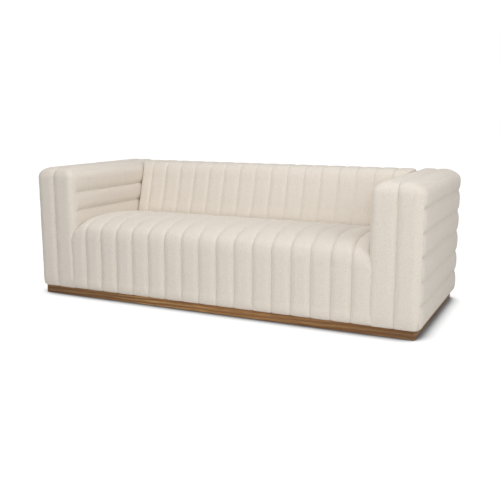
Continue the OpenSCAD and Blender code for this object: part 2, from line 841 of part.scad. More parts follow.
module arm_bolts() {
    color(steel_colour) both_sides() arm_bolt_places() {
        rod_x(bolt_seat_x, nut_face_x + nut_flange_t + bolt_tip, bolt_d);
        rod_x(bolt_seat_x - bolt_head_h, bolt_seat_x, 2 * bolt_d * cos(30), 6);
    }
}

module arm_bolt_washers() {
    color(steel_colour) both_sides() arm_bolt_places() difference() {
        rod_x(bolt_seat_x, bolt_seat_x + washer_t, washer_d);
        rod_x(bolt_seat_x - overrun, bolt_seat_x + washer_t + overrun, bolt_d + 2 * hole_gap);
    }
}

module arm_barrel_nuts() {
    color(steel_colour) both_sides() arm_bolt_places() difference() {
        union() {
            rod_x(nut_face_x, nut_face_x + nut_flange_t, nut_flange_d);
            rod_x(inner_wood_x, nut_face_x + nut_flange_t, nut_bore_d);
        }
        rod_x(inner_wood_x - overrun, nut_face_x + nut_flange_t + overrun, bolt_d + 2 * hole_gap);
    }
}

plinth_front_rail();
plinth_rear_rail();
plinth_left_rail();
plinth_right_rail();
plinth_corner_blocks();
plinth_bearers();
plinth_screws();
felt_glides();
dust_cover();
seat_front_rail();
seat_rear_rail();
seat_left_rail();
seat_right_rail();
seat_stretchers();
seat_corner_blocks();
seat_springs();
spring_clips();
spring_tie_wires();
deck_pad();
seat_foam();
seat_front_pad();
seat_cover();
back_left_rib();
back_right_rib();
back_middle_ribs();
back_top_rail();
back_upper_strap_rail();
back_lower_strap_rail();
back_straps_set();
back_board();
back_foam();
back_top_pad();
back_outer_pad();
back_cover();
left_arm_front_board();
left_arm_rear_board();
left_arm_inner_panel();
left_arm_outer_panel();
left_arm_top_board();
left_arm_bottom_board();
left_arm_padding();
left_arm_cover();
right_arm_front_board();
right_arm_rear_board();
right_arm_inner_panel();
right_arm_outer_panel();
right_arm_top_board();
right_arm_bottom_board();
right_arm_padding();
right_arm_cover();
arm_bolts();
arm_bolt_washers();
arm_barrel_nuts();
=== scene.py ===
# %% [markdown]
# # A channel-quilted sofa on a low timber plinth
#
# The real sofa is a timber frame under foam, covered in an ivory looped-yarn cloth that is sewn into wide
# channels. The frame model carries every size. This lesson dresses it: four quilted covers, softened foam,
# a veneered plinth, and the finish of each hidden piece.
#
# Lengths are in metres. X runs to the right as seen from the front, the front faces -Y, and Z is up.

# %% Load the frame model
import json
import math

import bmesh
import bpy
import numpy as np
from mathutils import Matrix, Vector


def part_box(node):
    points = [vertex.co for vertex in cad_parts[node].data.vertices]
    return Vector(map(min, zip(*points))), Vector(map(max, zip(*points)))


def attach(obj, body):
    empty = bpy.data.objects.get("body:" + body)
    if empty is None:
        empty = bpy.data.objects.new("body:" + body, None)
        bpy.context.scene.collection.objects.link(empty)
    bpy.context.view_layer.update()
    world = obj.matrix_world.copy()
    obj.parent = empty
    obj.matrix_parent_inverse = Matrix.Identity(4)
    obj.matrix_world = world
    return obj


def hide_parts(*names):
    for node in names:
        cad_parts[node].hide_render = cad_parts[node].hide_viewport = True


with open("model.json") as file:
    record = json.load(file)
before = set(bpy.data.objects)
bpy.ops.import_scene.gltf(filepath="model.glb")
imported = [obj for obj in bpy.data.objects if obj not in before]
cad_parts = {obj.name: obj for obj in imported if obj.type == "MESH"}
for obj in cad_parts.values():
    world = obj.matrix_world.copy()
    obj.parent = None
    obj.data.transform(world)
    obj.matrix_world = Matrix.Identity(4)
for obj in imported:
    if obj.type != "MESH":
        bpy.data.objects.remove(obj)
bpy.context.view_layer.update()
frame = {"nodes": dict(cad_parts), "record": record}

# %% [markdown]
# ## The camera
#
# The photograph looks down a little on the sofa from its right. The plinth's corners and the seams along the
# front gave one place and lens for it. It could be aimed with a Track To constraint, but a constraint is one
# more thing to undo, so the turn is worked out from the direction that points back to the camera.

# %% Camera
back_from_target = Vector((0.4220, -0.8868, 0.1885)).normalized()
camera_data = bpy.data.cameras.new("photo_camera")
camera_data.lens = 51.47
camera_data.sensor_width = 36
camera_data.clip_end = 100
camera = bpy.data.objects.new("photo_camera", camera_data)
camera.location = (1.828, -3.784, 1.081)
camera.rotation_mode = "QUATERNION"
camera.rotation_quaternion = (-back_from_target).to_track_quat("-Z", "Y")
bpy.context.scene.collection.objects.link(camera)
bpy.context.scene.camera = camera
print("camera at", [round(v, 3) for v in camera.location])

# %% [markdown]
# ## Sizes that the covers share
#
# A cover can't be modelled from its outer box alone: it needs to know where each seam runs. The outer seams
# repeat the frame model's, so that a cover sits where its plain solid sits.

# %% Sizes of the covers
RISE = 0.0115  # how far the middle of a channel stands above its seams
TOP_RISE = 0.006  # the same on the tops of the arms and back
FACE_RISE = 0.0055  # the same on the face of the back, where people lean
SEAM_X, SEAM_Y = 1.146, 0.478  # seams on the outer sides, and on the front and rear
BASE_Z = 0.0500  # lower edge of the covers
TOP_SEAM_Z = 0.755  # seams on the tops of the arms and back
EDGE_Z = 0.699  # where an arm's upright sides end and its shoulders start
SHOULDER = TOP_SEAM_Z - EDGE_Z
GAP_X, INNER_X = 0.916, 0.886  # where the seat meets an arm: at the front, and behind it
ARM_SEAM_X = 1.024  # seam along the middle of an arm
CORNER_Y, CORNER_RY = 0.432, 0.046  # where the arms' upright edges start to round, and how far they go on
INNER_SEAM_X = 0.898  # seams on the inner side of an arm
INNER_FRONT_X, INNER_TOP_X = 0.917, 0.968  # where its rounding starts, on the front and on top
OUTER_FRONT_X, OUTER_TOP_X = 1.110, 1.064  # the same on the outer side
SIDE_GAP, BACK_GAP = 0.002, 0.005  # between the seat and an arm, and between the back and an arm
SEAT_CHANNELS = 17
PITCH = 2 * GAP_X / SEAT_CHANNELS
TINY = 1e-12  # keeps a division from meeting zero
print("channel pitch", round(PITCH, 4))

# %% [markdown]
# ## One quilted channel
#
# A channel is wadding held down by a row of stitches on each side. Across it the cloth is almost flat, then
# turns down steeply into the stitches. A sine wave would look like corrugated card, so the section here is a
# flattened arch, and a narrow pinch stands for the stitches that pull the cloth in.
#
# Hand-filled channels are never quite even. A few slow waves with seeded phases change the fullness along
# each channel and let its crown wander a little to either side.


# %% Section and unevenness of a channel
FLAT_SECTION = (3.4, 0.56)  # power and roundness of the wide channels of the seat, back and arm fronts
ROUND_SECTION = (2.5, 0.62)  # the same of the fuller channels of the arm sides
PINCH_DEPTH, PINCH_REACH = 0.0013, 0.0016  # how far the stitches pull the cloth in, and how far that shows
WAVES = 5  # how many waves make up the unevenness
EVEN_SHARE = 0.3  # how even the spacing of points across a channel is: 1 would be fully even


def arch(share, power, roundness):
    """Height across a channel, as a share of its rise, for shares 0 to 1 of its width."""
    return np.clip(1 - np.abs(2 * share - 1) ** power, 0, 1) ** roundness


def pinch(share, width):
    """How far the stitches pull the cloth in, near either edge of a channel."""
    away = np.minimum(share, 1 - share) * width
    return -PINCH_DEPTH * np.exp(-((away / PINCH_REACH) ** 2))


def waves(along, seed, longest, shortest):
    """Slow, repeatable unevenness between about -1 and 1 at the lengths given by along."""
    random = np.random.default_rng(seed)
    lengths = np.geomspace(longest, shortest, WAVES) * random.uniform(0.8, 1.25, WAVES)
    phases = random.uniform(0, 2 * math.pi, WAVES)
    strengths = (lengths / longest) ** 0.5
    total = sum(
        strength * np.sin(2 * math.pi * along / length + phase)
        for strength, length, phase in zip(strengths, lengths, phases)
    )
    return total / strengths.sum()


def across_channel(segments):
    """Shares of a channel's width, closer together beside its seams."""
    even = np.linspace(0, 1, segments + 1)[:-1]
    return EVEN_SHARE * even + (1 - EVEN_SHARE) * (1 - np.cos(math.pi * even)) / 2


print("arch at a tenth, a quarter and the middle", arch(np.array([0.1, 0.25, 0.5]), *FLAT_SECTION).round(2))


# %% [markdown]
# ## A smooth path through a few points
#
# The seat's side view is known at about twenty places. Blender's curves would do, but their handles are hard
# to match to measured points, so a cubic runs through them and is cut at even steps.


# %% Smooth path
FINE_POINTS = 1500  # of the curve before it is cut


def smooth_path(points, step):
    """Points at even steps along a smooth curve through the given points, and their places along it."""
    points = np.asarray(points, float)
    knots = np.concatenate([[0], np.cumsum(np.linalg.norm(np.diff(points, axis=0), axis=1))])
    slopes = np.gradient(points, knots, axis=0)
    fine = np.linspace(0, knots[-1], FINE_POINTS)
    low = np.clip(np.searchsorted(knots, fine, side="right") - 1, 0, len(knots) - 2)
    width = (knots[low + 1] - knots[low])[:, None]
    share = (fine - knots[low])[:, None] / width
    curve = (
        points[low] * (1 + 2 * share) * (1 - share) ** 2
        + slopes[low] * width * share * (1 - share) ** 2
        + points[low + 1] * share**2 * (3 - 2 * share)
        + slopes[low + 1] * width * share**2 * (share - 1)
    )
    length = np.concatenate([[0], np.cumsum(np.linalg.norm(np.diff(curve, axis=0), axis=1))])
    steps = np.linspace(0, length[-1], int(round(length[-1] / step)) + 1)
    return np.stack([np.interp(steps, length, curve[:, axis]) for axis in range(2)], axis=1), steps


def smooth_step(value, start, end):
    """0 before start, 1 after end, and a smooth change between them."""
    share = np.clip((value - start) / (end - start), 0, 1)
    return share * share * (3 - 2 * share)


# %% [markdown]
# ## From a base surface to a quilted panel
#
# A panel starts as a flat grid, one column of points for each place across a channel and one row for each
# step along it. The grid's points move to a base surface that runs through the seams, and from there outwards
# by the channel's arch. Sculpting or a displacement texture could raise the channels too, but neither keeps
# the rows of points exactly on the stitches, and a row that misses them blurs the groove.
#
# At its edges a panel turns in and runs a little way down beside its neighbour, as a sewn panel's seam
# allowance does. Shading is smooth but for the creases at the stitches, so a seam stays a fine line.


# %% Panel
SEAM_ANGLE = math.radians(50)  # a fold sharper than this is a crease
TUCK = (0.004, 0.010)  # how deep the rows of a turned-in edge lie
FULLNESS_CHANGE, FULLNESS_WAVES = 0.075, (0.42, 0.07)  # as a share of the rise; longest and shortest wave
LEAN_CHANGE, LEAN_WAVES = 0.05, (0.6, 0.07)  # how far the crown wanders, as a share of the width
PUCKER_CHANGE, PUCKER_WAVES = 0.0005, (0.06, 0.018)
PUCKER_PLACE, PUCKER_SPREAD = 0.1, 0.08  # where the puckers lie beside a seam, as shares of the width
PINCH_LOSS = 1.4  # how much weaker the stitches pull at a seam that stays high
HELD_ROWS = 2  # at either end of a channel, held like its seams


def outward_normals(base):
    """Unit normals of a base surface, from the places of neighbouring points."""
    normal = np.cross(np.gradient(base, axis=0), np.gradient(base, axis=1))
    return normal / np.maximum(np.linalg.norm(normal, axis=2, keepdims=True), TINY)


def turned_in(places, inward, depths):
    """Adds columns that run inwards from the first and the last column of a panel."""
    first = [places[:1] + inward[:1] * depth for depth in reversed(depths)]
    last = [places[-1:] + inward[-1:] * depth for depth in depths]
    return np.concatenate([*first, places, *last])


def quilted(
    base, normal, shares, channel, width, rise, along, seed,
    section=FLAT_SECTION, soft=(0, 0), settle=1, plain=0,
):
    """Places of a quilted panel: columns across the channels, rows along them.

    soft gives the height left at the panel's first and last seam, as shares of the rise. Where settle falls
    to 0, the channels fade into a level surface at the height plain.
    """
    height = np.zeros(base.shape[:2])
    last = channel.max()
    for number in range(last + 1):
        rows = channel == number
        share = shares[rows][:, None]
        channel_seed = seed + 7 * number
        fullness = 1 + FULLNESS_CHANGE * waves(along, channel_seed, *FULLNESS_WAVES)[None, :]
        lean = LEAN_CHANGE * waves(along, channel_seed + 3, *LEAN_WAVES)[None, :]
        shape = arch(np.clip(share + lean * share * (1 - share), 0, 1), *section)
        stitches = pinch(share, width[rows].reshape(len(share), -1) if np.ndim(width) else width)
        outer_halves = ((number == 0) & (share < 0.5), (number == last) & (share > 0.5))
        for edge, outer_half in zip(soft, outer_halves):
            edge = np.broadcast_to(edge, (1, len(along)))
            shape = np.where(outer_half, edge + (1 - edge) * shape, shape)
            stitches = np.where(outer_half, stitches * (1 - PINCH_LOSS * np.minimum(edge, 0.5)), stitches)
        pucker = PUCKER_CHANGE * waves(along, channel_seed + 5, *PUCKER_WAVES)[None, :]
        near_seam = np.exp(-(((np.minimum(share, 1 - share) - PUCKER_PLACE) / PUCKER_SPREAD) ** 2))
        height[rows] = rise * shape * fullness + stitches + pucker * near_seam
    height = plain + (height - plain) * settle
    return base + normal * height[..., None]


def stitched(shares, rows, tucked_columns, tucked_rows=0):
    """Which points of a panel the stitches hold: its seams, what is turned in, and the ends of its rows."""
    seams = (shares == 0) | (shares == 1)
    columns = np.pad(seams, tucked_columns, constant_values=True)
    held = np.repeat(columns[:, None], rows + 2 * tucked_rows, axis=1)
    ends = tucked_rows + HELD_ROWS
    held[:, :ends] = held[:, -ends:] = True
    return held


def piece_from(bm, name):
    """One object of the scene from a bmesh, which is freed."""
    mesh = bpy.data.meshes.new(name)
    bm.to_mesh(mesh)
    bm.free()
    piece = bpy.data.objects.new(name, mesh)
    bpy.context.scene.collection.objects.link(piece)
    return piece


def panel_mesh(name, parts):
    """One object from several panels, each the places of its points and which of them are held."""
    bm = bmesh.new()
    weights = bm.verts.layers.deform.verify()
    for places, held in parts:
        columns, rows = places.shape[:2]
        made = bmesh.ops.create_grid(bm, x_segments=columns - 1, y_segments=rows - 1, size=1)
        for vert in made["verts"]:
            column = round((vert.co.x + 1) / 2 * (columns - 1))
            row = round((vert.co.y + 1) / 2 * (rows - 1))
            vert.co = places[column, row]
            vert[weights][0] = float(held[column, row])
    for face in bm.faces:
        face.smooth = True
    for edge in bm.edges:
        edge.smooth = edge.calc_face_angle(0) < SEAM_ANGLE
    piece = piece_from(bm, name)
    piece.vertex_groups.new(name="stitches")
    return piece


# %% [markdown]
# ## Seat cover
#
# The seat is one tight cover: seventeen channels run up the front, roll over the border and back to the
# crease under the back. Beside each arm it sinks, because there the frame's edge holds it down. Its lower
# edge turns under the frame and is stapled there, so the channels end almost flat.

# %% Seat cover
SEAT_ROW = 0.009  # from one row of points to the next
CHANNEL_SEGMENTS = 14  # from one seam to the next
LIP = ((0.452, 0.0530), (0.466, 0.0524), (0.4745, BASE_Z), (SEAM_Y, 0.0545))  # where a cover turns under
LIP_SHARE, LIP_FADE = 0.15, (0.010, 0.080)  # of the rise is left there, and grows to all of it in between
END_TUCK = (0.004, 0.012, 0.030)  # deeper at the ends of the seat and back, where a gap shows it
CROWN_FADE = 0.045  # over what depth an arm's inner channels swell behind its rounded edge
END_REACH = 0.030  # how far the back's top end follows the arm's shoulder outwards
CREASE_Y = 0.17  # behind it a point belongs to the back
STRAIGHT_Z = 0.3  # below it the ends of the covers are upright
SINK = 0.026  # how far the seat sinks beside an arm
SINK_REACH, SINK_POWER = 1.3 * PITCH, 1.4  # how far from the arm that starts, and how steeply it goes on
SINK_HEIGHTS = (0.26, 0.38)  # between them the upright front passes into it
HIDDEN_LOSS, HIDDEN_FADE = 0.75, np.array((0.075, 0.020))  # the seat flattens where the back presses it

seat_profile = [
    *((-y, z) for y, z in LIP), (-SEAM_Y, 0.120), (-SEAM_Y, 0.240), (-SEAM_Y, 0.330), (-0.4775, 0.374),
    (-0.4660, 0.4130), (-0.4472, 0.4310), (-0.4139, 0.4466), (-0.3626, 0.4614), (-0.2921, 0.4680),
    (-0.2024, 0.4710), (-0.0678, 0.4588), (0.0604, 0.4449), (0.1181, 0.4379), (0.1480, 0.4320),
    (0.1640, 0.4190), (0.1690, 0.4000), (0.1700, 0.3750),
]


def end_x(y, z):
    """Half width of the seat or back where it meets the inner side and the rounded edges of an arm."""
    corner = np.clip((np.abs(y) - CORNER_Y) / CORNER_RY, 0, 1)
    shoulder = np.clip((z - EDGE_Z) / SHOULDER, 0, 1)
    crown = RISE * smooth_step(CORNER_Y + CORNER_RY - np.abs(y), 0, CROWN_FADE)
    rounding = (INNER_FRONT_X - INNER_SEAM_X) * (1 - np.sqrt(1 - corner**2))
    return (
        INNER_SEAM_X - crown - np.where(y > CREASE_Y, BACK_GAP, SIDE_GAP)
        + rounding + END_REACH * (1 - np.sqrt(1 - shoulder**2))
    )


def channel_columns(count, segments=CHANNEL_SEGMENTS):
    """The channel number and the share of its width for each column of a panel."""
    shares = across_channel(segments)
    channel = np.append(np.repeat(np.arange(count), segments), count - 1)
    return channel, np.append(np.tile(shares, count), 1.0)


def channel_edges(number, end):
    """Place across the sofa of the seam at the left of a channel of the seat or back."""
    inside = (number - SEAT_CHANNELS / 2) * PITCH
    return np.where(number == 0, -end, np.where(number == SEAT_CHANNELS, end, inside))


def wide_base(profile, drop):
    """Base surface of the seat or back, swept from its side view."""
    channel, shares = channel_columns(SEAT_CHANNELS)
    y, z = profile[:, 0][None, :], profile[:, 1][None, :]
    end = end_x(np.where(z < STRAIGHT_Z, np.sign(y) * SEAM_Y, y), z)
    left, right = channel_edges(channel[:, None], end), channel_edges(channel[:, None] + 1, end)
    x = left + (right - left) * shares[:, None]
    sink = np.clip((np.abs(x) - GAP_X + SINK_REACH) / (INNER_X - GAP_X + SINK_REACH), 0, 1) ** SINK_POWER
    lowered = z - drop * sink * smooth_step(z, *SINK_HEIGHTS)
    return np.stack([x, np.broadcast_to(y, x.shape), lowered], axis=2), channel, shares


def wide_panel(profile, rise, along, seed, drop=0.0):
    """Places of the seat's or back's points, and which of them are held."""
    base, channel, shares = wide_base(profile, drop)
    normal = outward_normals(base)
    places = quilted(base, normal, shares, channel, PITCH, rise[None, :], along, seed)
    return turned_in(places, -normal, END_TUCK), stitched(shares, len(along), len(END_TUCK))


def off_lip(distance):
    """Share of its rise that a channel has, by its distance from the stapled lower edge."""
    return LIP_SHARE + (1 - LIP_SHARE) * smooth_step(distance, *LIP_FADE)


seat_path, seat_along = smooth_path(seat_profile, SEAT_ROW)
seat_rise = RISE * off_lip(seat_along)
seat_rise *= 1 - HIDDEN_LOSS * smooth_step(seat_along, *(seat_along[-1] - HIDDEN_FADE))
seat_cover = panel_mesh("seat_quilting", [wide_panel(seat_path, seat_rise, seat_along, 100, SINK)])
print("seat cover points", len(seat_cover.data.vertices))

# %% [markdown]
# ## Back cover
#
# The back's channels line up with the seat's. They lean back a little, roll over the top and run down the
# rear to the lower edge, so the sofa can stand in the middle of a room. The top's two rounded edges are
# given by a few points on arcs.

# %% Back cover
BACK_ROW = 0.010
LEAN = math.tan(math.radians(16))
CREASE_Z, FACE_TOP_Z = 0.450, 0.7115  # of the straight, leaning face
BACK_SEAM_Y, HIDDEN_SEAM_Y = 0.177, 0.1765  # the face's seams at the crease, and below it
TOP_HEIGHTS = (0.700, 0.748)  # between them the channels change to those of the top
FACE_DEPTHS = (0.30, 0.46)  # between them the face's channels change to those of the rear


def arc(y, z, radius_y, radius_z, turns):
    """Points round a middle, at turns in degrees."""
    angles = [math.radians(turn) for turn in turns]
    return [(y + radius_y * math.cos(angle), z + radius_z * math.sin(angle)) for angle in angles]


face_heights = np.linspace(CREASE_Z, FACE_TOP_Z, 5)
back_profile = [
    (HIDDEN_SEAM_Y, 0.385), (HIDDEN_SEAM_Y, 0.420),
    *((BACK_SEAM_Y + (z - CREASE_Z) * LEAN, z) for z in face_heights),
    *arc(0.3097, 0.695, 0.060, 0.060, (146, 127, 108, 90)), (0.350, TOP_SEAM_Z), (0.395, 0.7535),
    *arc(0.418, 0.7025, 0.060, 0.050, (80, 55, 28, 0)),
    *((SEAM_Y, z) for z in (0.66, 0.50, 0.30, 0.12)), *reversed(LIP),
]
back_path, back_along = smooth_path(back_profile, BACK_ROW)
on_top = smooth_step(back_path[:, 1], *TOP_HEIGHTS)
facing = 1 - smooth_step(back_path[:, 0], *FACE_DEPTHS)
back_rise = (RISE + (FACE_RISE - RISE) * facing) * (1 - on_top) + TOP_RISE * on_top
back_rise *= off_lip(back_along[-1] - back_along)
back_cover = panel_mesh("back_quilting", [wide_panel(back_path, back_rise, back_along, 300)])
print("back cover points", len(back_cover.data.vertices))

# %% [markdown]
# ## Arm covers
#
# An arm is sewn from a band and two sides. The band's two channels run up the front, along the top and down
# the rear. Each side has level channels that wrap round the upright edges and end at the band.
#
# The seam between them climbs the rounded upright edge, crosses the top corner and runs back along the
# shoulder, always about halfway round. On the corner, a point is given by how far the band has turned from
# front to top, and by how far it has turned towards the side. The side panel uses the same curve for its
# edge, at the same height above the base surface, so the two meet at every point and only a fine line shows
# between them.

# %% Shape of an arm
ROUNDING = {  # by side, 1 outer and -1 inner: the seams, and the flat front's and the flat top's edge
    1: (SEAM_X, OUTER_FRONT_X, OUTER_TOP_X), -1: (INNER_SEAM_X, INNER_FRONT_X, INNER_TOP_X),
}
SEAM_TURN = math.radians(46)  # how far round that edge the seam between the band and a side lies
TOP_TURN = math.pi / 2  # of the band, from front to top
ARM_ROW = 0.009
BAND_SEGMENTS = 20  # across each of the band's channels
TURN_ROWS, SIDE_TURN_ROWS = 9, 11  # rows round the top corner, of the band and of a side
EDGE_RISE_FROM = 0.2  # where on that corner the band's channels start to get lower
SEAM_GAP = 0.0002  # between a panel's edge and its seam
UNCOVERED = (0.340, 0.400)  # heights between which an inner side rises out of the gap beside the seat
BACK_UNCOVERED = (0.700, 0.750)  # the same beside the back
EDGE_HEIGHT = 0.97  # share of the rise that is left at the seam between the band and a side
FADE = {1: (-0.012, 0.014), -1: (0.0, 0.050)}  # distances from it over which a side's channels take shape


def eased(turn, start, end):
    """A value that changes smoothly as the band turns from the front (0) to the top (a right angle)."""
    return start + (end - start) * smooth_step(turn, 0, TOP_TURN)


def edge_rise(turn):
    """Rise of the band's channels, which is less on the top than on the front."""
    return RISE + (TOP_RISE - RISE) * smooth_step(turn, EDGE_RISE_FROM, TOP_TURN)


def band_rows():
    """Side view of an arm's band: depth, height and turn of each row, and the length along it."""
    foot_z = LIP[-1][1]
    upright = np.linspace(foot_z, EDGE_Z, int((EDGE_Z - foot_z) / ARM_ROW))[:-1]
    level = np.linspace(-CORNER_Y, CORNER_Y, int(2 * CORNER_Y / ARM_ROW))[1:-1]
    front_rows = [(-y, z, 0) for y, z in LIP[:-1]] + [(-SEAM_Y, z, 0) for z in upright]
    for turn in np.linspace(0, TOP_TURN, TURN_ROWS):
        front_rows.append((-CORNER_Y - CORNER_RY * math.cos(turn), EDGE_Z + SHOULDER * math.sin(turn), turn))
    top_rows = [(y, TOP_SEAM_Z, TOP_TURN) for y in level]
    rows = np.array([*front_rows, *top_rows, *((-y, z, turn) for y, z, turn in reversed(front_rows))])
    along = np.concatenate([[0], np.cumsum(np.linalg.norm(np.diff(rows[:, :2], axis=0), axis=1))])
    return rows, along


def corner_seam(turn, side):
    """The seam between the band and a side on the front corner."""
    seam_x, front, top = ROUNDING[side]
    flat = eased(turn, front, top)
    return np.stack([
        flat + (seam_x - flat) * math.sin(SEAM_TURN),
        -CORNER_Y - CORNER_RY * np.cos(turn) * math.cos(SEAM_TURN),
        EDGE_Z + SHOULDER * np.sin(turn) * math.cos(SEAM_TURN),
    ], axis=-1)


def beside_seat(y, z):
    """1 where the band's inner edge stands clear of the seat and back, else 0."""
    return np.where(y < 0, smooth_step(z, *UNCOVERED), smooth_step(z, *BACK_UNCOVERED))


def band_panel(seed):
    """The two channels of an arm's front, top and rear."""
    rows, along = band_rows()
    channel, shares = channel_columns(2, BAND_SEGMENTS)
    base = np.empty((len(shares), len(rows), 3))
    widths = np.empty((len(shares), len(rows)))
    for r, (y, z, turn) in enumerate(rows):
        depth, height = CORNER_RY * math.cos(turn), SHOULDER * math.sin(turn)
        tucked = min(1, (abs(y) - CORNER_Y) / CORNER_RY) if turn == 0 else 1
        for number, side in ((0, -1), (1, 1)):
            seam_x, front, top = ROUNDING[side]
            chosen = channel == number
            flat = eased(turn, front, top)
            shoulder_x = seam_x - flat
            shoulder = SEAM_TURN * math.hypot(shoulder_x, depth, height) / math.sqrt(2)
            length = shoulder + abs(ARM_SEAM_X - flat)
            share = shares[chosen] if number == 0 else 1 - shares[chosen]
            place = SEAM_GAP + share * (length - SEAM_GAP)
            latitude = SEAM_TURN * np.clip(1 - place / shoulder, 0, 1)
            inward = np.maximum(place - shoulder, 0) * math.copysign(1, ARM_SEAM_X - flat)
            base[chosen, r, 0] = flat + shoulder_x * tucked * np.sin(latitude) + inward
            widths[chosen, r] = length
            level_y = y if turn == TOP_TURN else math.copysign(CORNER_Y, y)
            base[chosen, r, 1] = level_y + math.copysign(depth * tucked, y) * np.cos(latitude)
            base[chosen, r, 2] = z if turn == 0 else EDGE_Z + height * np.cos(latitude)
    rise = edge_rise(rows[:, 2]) * off_lip(np.minimum(along, along[-1] - along))
    clear = EDGE_HEIGHT * beside_seat(rows[:, 0], rows[:, 1])
    normal = outward_normals(base)
    places = quilted(
        base, normal, shares, channel, widths, rise[None, :], along, seed, soft=(clear[None, :], EDGE_HEIGHT)
    )
    return turned_in(places, -normal, TUCK), stitched(shares, len(along), len(TUCK))


# %% [markdown]
# The side panels follow the arm's plan: round the front corner, along the side and round the rear corner.
# Their uppermost channel grows a little taller on the corners, up to the band's seam. On a corner the rows
# lie too close together for normals from neighbouring points, so they come from the rounding's own formula.


# %% Side panels of an arm
def plan_of(turn):
    """How far a side's row has turned in plan, for a place on the band's seam."""
    return np.arctan2(math.tan(SEAM_TURN), np.maximum(np.cos(turn), TINY))


def side_rows(side):
    """Foot and seam of each row's uppermost channel, from front to rear, and how far the band has turned."""
    seam_x, front, _ = ROUNDING[side]
    turn = np.linspace(0, TOP_TURN, SIDE_TURN_ROWS)
    plan = plan_of(turn)
    foot = np.stack([
        front + (seam_x - front) * np.sin(plan), -CORNER_Y - CORNER_RY * np.cos(plan),
        np.full(len(turn), EDGE_Z),
    ], axis=-1)
    seam = corner_seam(turn, side)
    level = np.linspace(-CORNER_Y, 0, int(CORNER_Y / ARM_ROW))[1:]
    foot = np.concatenate([foot, [(seam_x, y, EDGE_Z) for y in level]])
    seam = np.concatenate([seam, [(seam[-1, 0], y, seam[-1, 2]) for y in level]])
    turn = np.concatenate([turn, np.full(len(level), TOP_TURN)])
    mirrored = slice(-2, None, -1)
    foot = np.concatenate([foot, foot[mirrored] * (1, -1, 1)])
    seam = np.concatenate([seam, seam[mirrored] * (1, -1, 1)])
    return foot, seam, np.concatenate([turn, turn[mirrored]])


def side_base(side, edges, foot, seam, turn, channel, shares):
    """Base surface of a side and its normals, seen as a rounding of varying width."""
    seam_x, front, top = ROUNDING[side]
    last = len(edges) - 2
    base = np.empty((len(shares), len(foot), 3))
    lifted = np.zeros(base.shape[:2])  # angle of each point above the upright part
    half_width = np.full(base.shape[:2], abs(seam_x - front))  # of the rounding, towards the side
    for r in range(len(foot)):
        base[:, r, :2] = foot[r, :2]
        for number in range(last):
            chosen = channel == number
            base[chosen, r, 2] = edges[number] + (edges[number + 1] - edges[number]) * shares[chosen]
        chosen = channel == last
        upright = EDGE_Z - edges[last]
        lift = math.asin(min(1, max(0, (seam[r, 2] - EDGE_Z) / SHOULDER)))
        round_length = math.hypot(*(seam[r] - foot[r]))
        place = shares[chosen] * (upright + round_length - SEAM_GAP)
        turned = lift * np.clip((place - upright) / max(round_length, TINY), 0, 1)
        moved = (1 - np.cos(turned)) / max(1 - math.cos(lift), TINY)
        base[chosen, r, :2] = foot[r, :2] + moved[:, None] * (seam[r, :2] - foot[r, :2])
        base[chosen, r, 2] = edges[last] + np.minimum(place, upright) + SHOULDER * np.sin(turned)
        lifted[chosen, r] = turned
        at_seam = abs(seam_x - eased(turn[r], front, top))
        half_width[chosen, r] += (at_seam - half_width[chosen, r]) * turned / max(lift, TINY)
    plan = plan_of(turn)
    normal = np.stack([
        math.copysign(1, seam_x - front) * np.cos(lifted) * np.sin(plan) / half_width,
        np.sign(foot[:, 1]) * np.cos(lifted) * np.cos(plan) / CORNER_RY,
        np.sin(lifted) / SHOULDER,
    ], axis=2)
    normal /= np.linalg.norm(normal, axis=2, keepdims=True)
    return (base[:, ::-1], normal[:, ::-1]) if side > 0 else (base, normal)


def side_panel(side, edges, seed):
    """Level channels of an arm's side. Columns go up, rows go along."""
    foot, seam, turn = side_rows(side)
    count = len(edges) - 1
    channel, shares = channel_columns(count)
    base, normal = side_base(side, edges, foot, seam, turn, channel, shares)
    along = np.concatenate([[0], np.cumsum(np.linalg.norm(np.diff(base[0], axis=0), axis=1))])
    ends = np.minimum(along, along[-1] - along)
    seam_height = EDGE_HEIGHT * edge_rise(turn)
    near_top = np.where(channel == count - 1, smooth_step(shares, 0, 1), 0)[:, None]
    plain = RISE * EDGE_HEIGHT * (1 - near_top) + seam_height[None, :] * near_top
    if side < 0:
        plain = plain * smooth_step(base[:, :, 2], *UNCOVERED)
    places = quilted(
        base, normal, shares, channel, np.diff(edges)[channel], RISE, along, seed, ROUND_SECTION,
        soft=(0, seam_height[None, :] / RISE), settle=smooth_step(ends, *FADE[side])[None, :], plain=plain,
    )
    places = turned_in(places, -normal, TUCK)
    inward = np.pad(-normal, ((len(TUCK), len(TUCK)), (0, 0), (0, 0)), mode="edge")
    places = turned_in(places.swapaxes(0, 1), inward.swapaxes(0, 1), TUCK).swapaxes(0, 1)
    return places, stitched(shares, len(along), len(TUCK), len(TUCK))


OUTER_CHANNEL, INNER_CHANNEL = 0.1183, 0.1063  # heights of the channels up the sides
INNER_LOW_Z, INNER_FIRST_Z = 0.3000, 0.5116  # lower edge of an inner side, and its first seam above the seat
outer_edges = [BASE_Z + number * OUTER_CHANNEL for number in range(6)] + [EDGE_Z]
inner_edges = [INNER_LOW_Z] + [INNER_FIRST_Z + number * INNER_CHANNEL for number in range(2)] + [EDGE_Z]


def arm_cover(name, side, seed):
    """The whole cover of an arm: side 1 is the right arm, -1 the left."""
    parts = [band_panel(seed), side_panel(1, outer_edges, seed + 40), side_panel(-1, inner_edges, seed + 80)]
    if side < 0:
        parts = [((places * (-1, 1, 1))[:, ::-1], held[:, ::-1]) for places, held in parts]
    return panel_mesh(name, parts)


right_arm_cover = arm_cover("right_arm_quilting", 1, 500)
left_arm_cover = arm_cover("left_arm_quilting", -1, 700)
print("arm cover points", len(right_arm_cover.data.vertices))

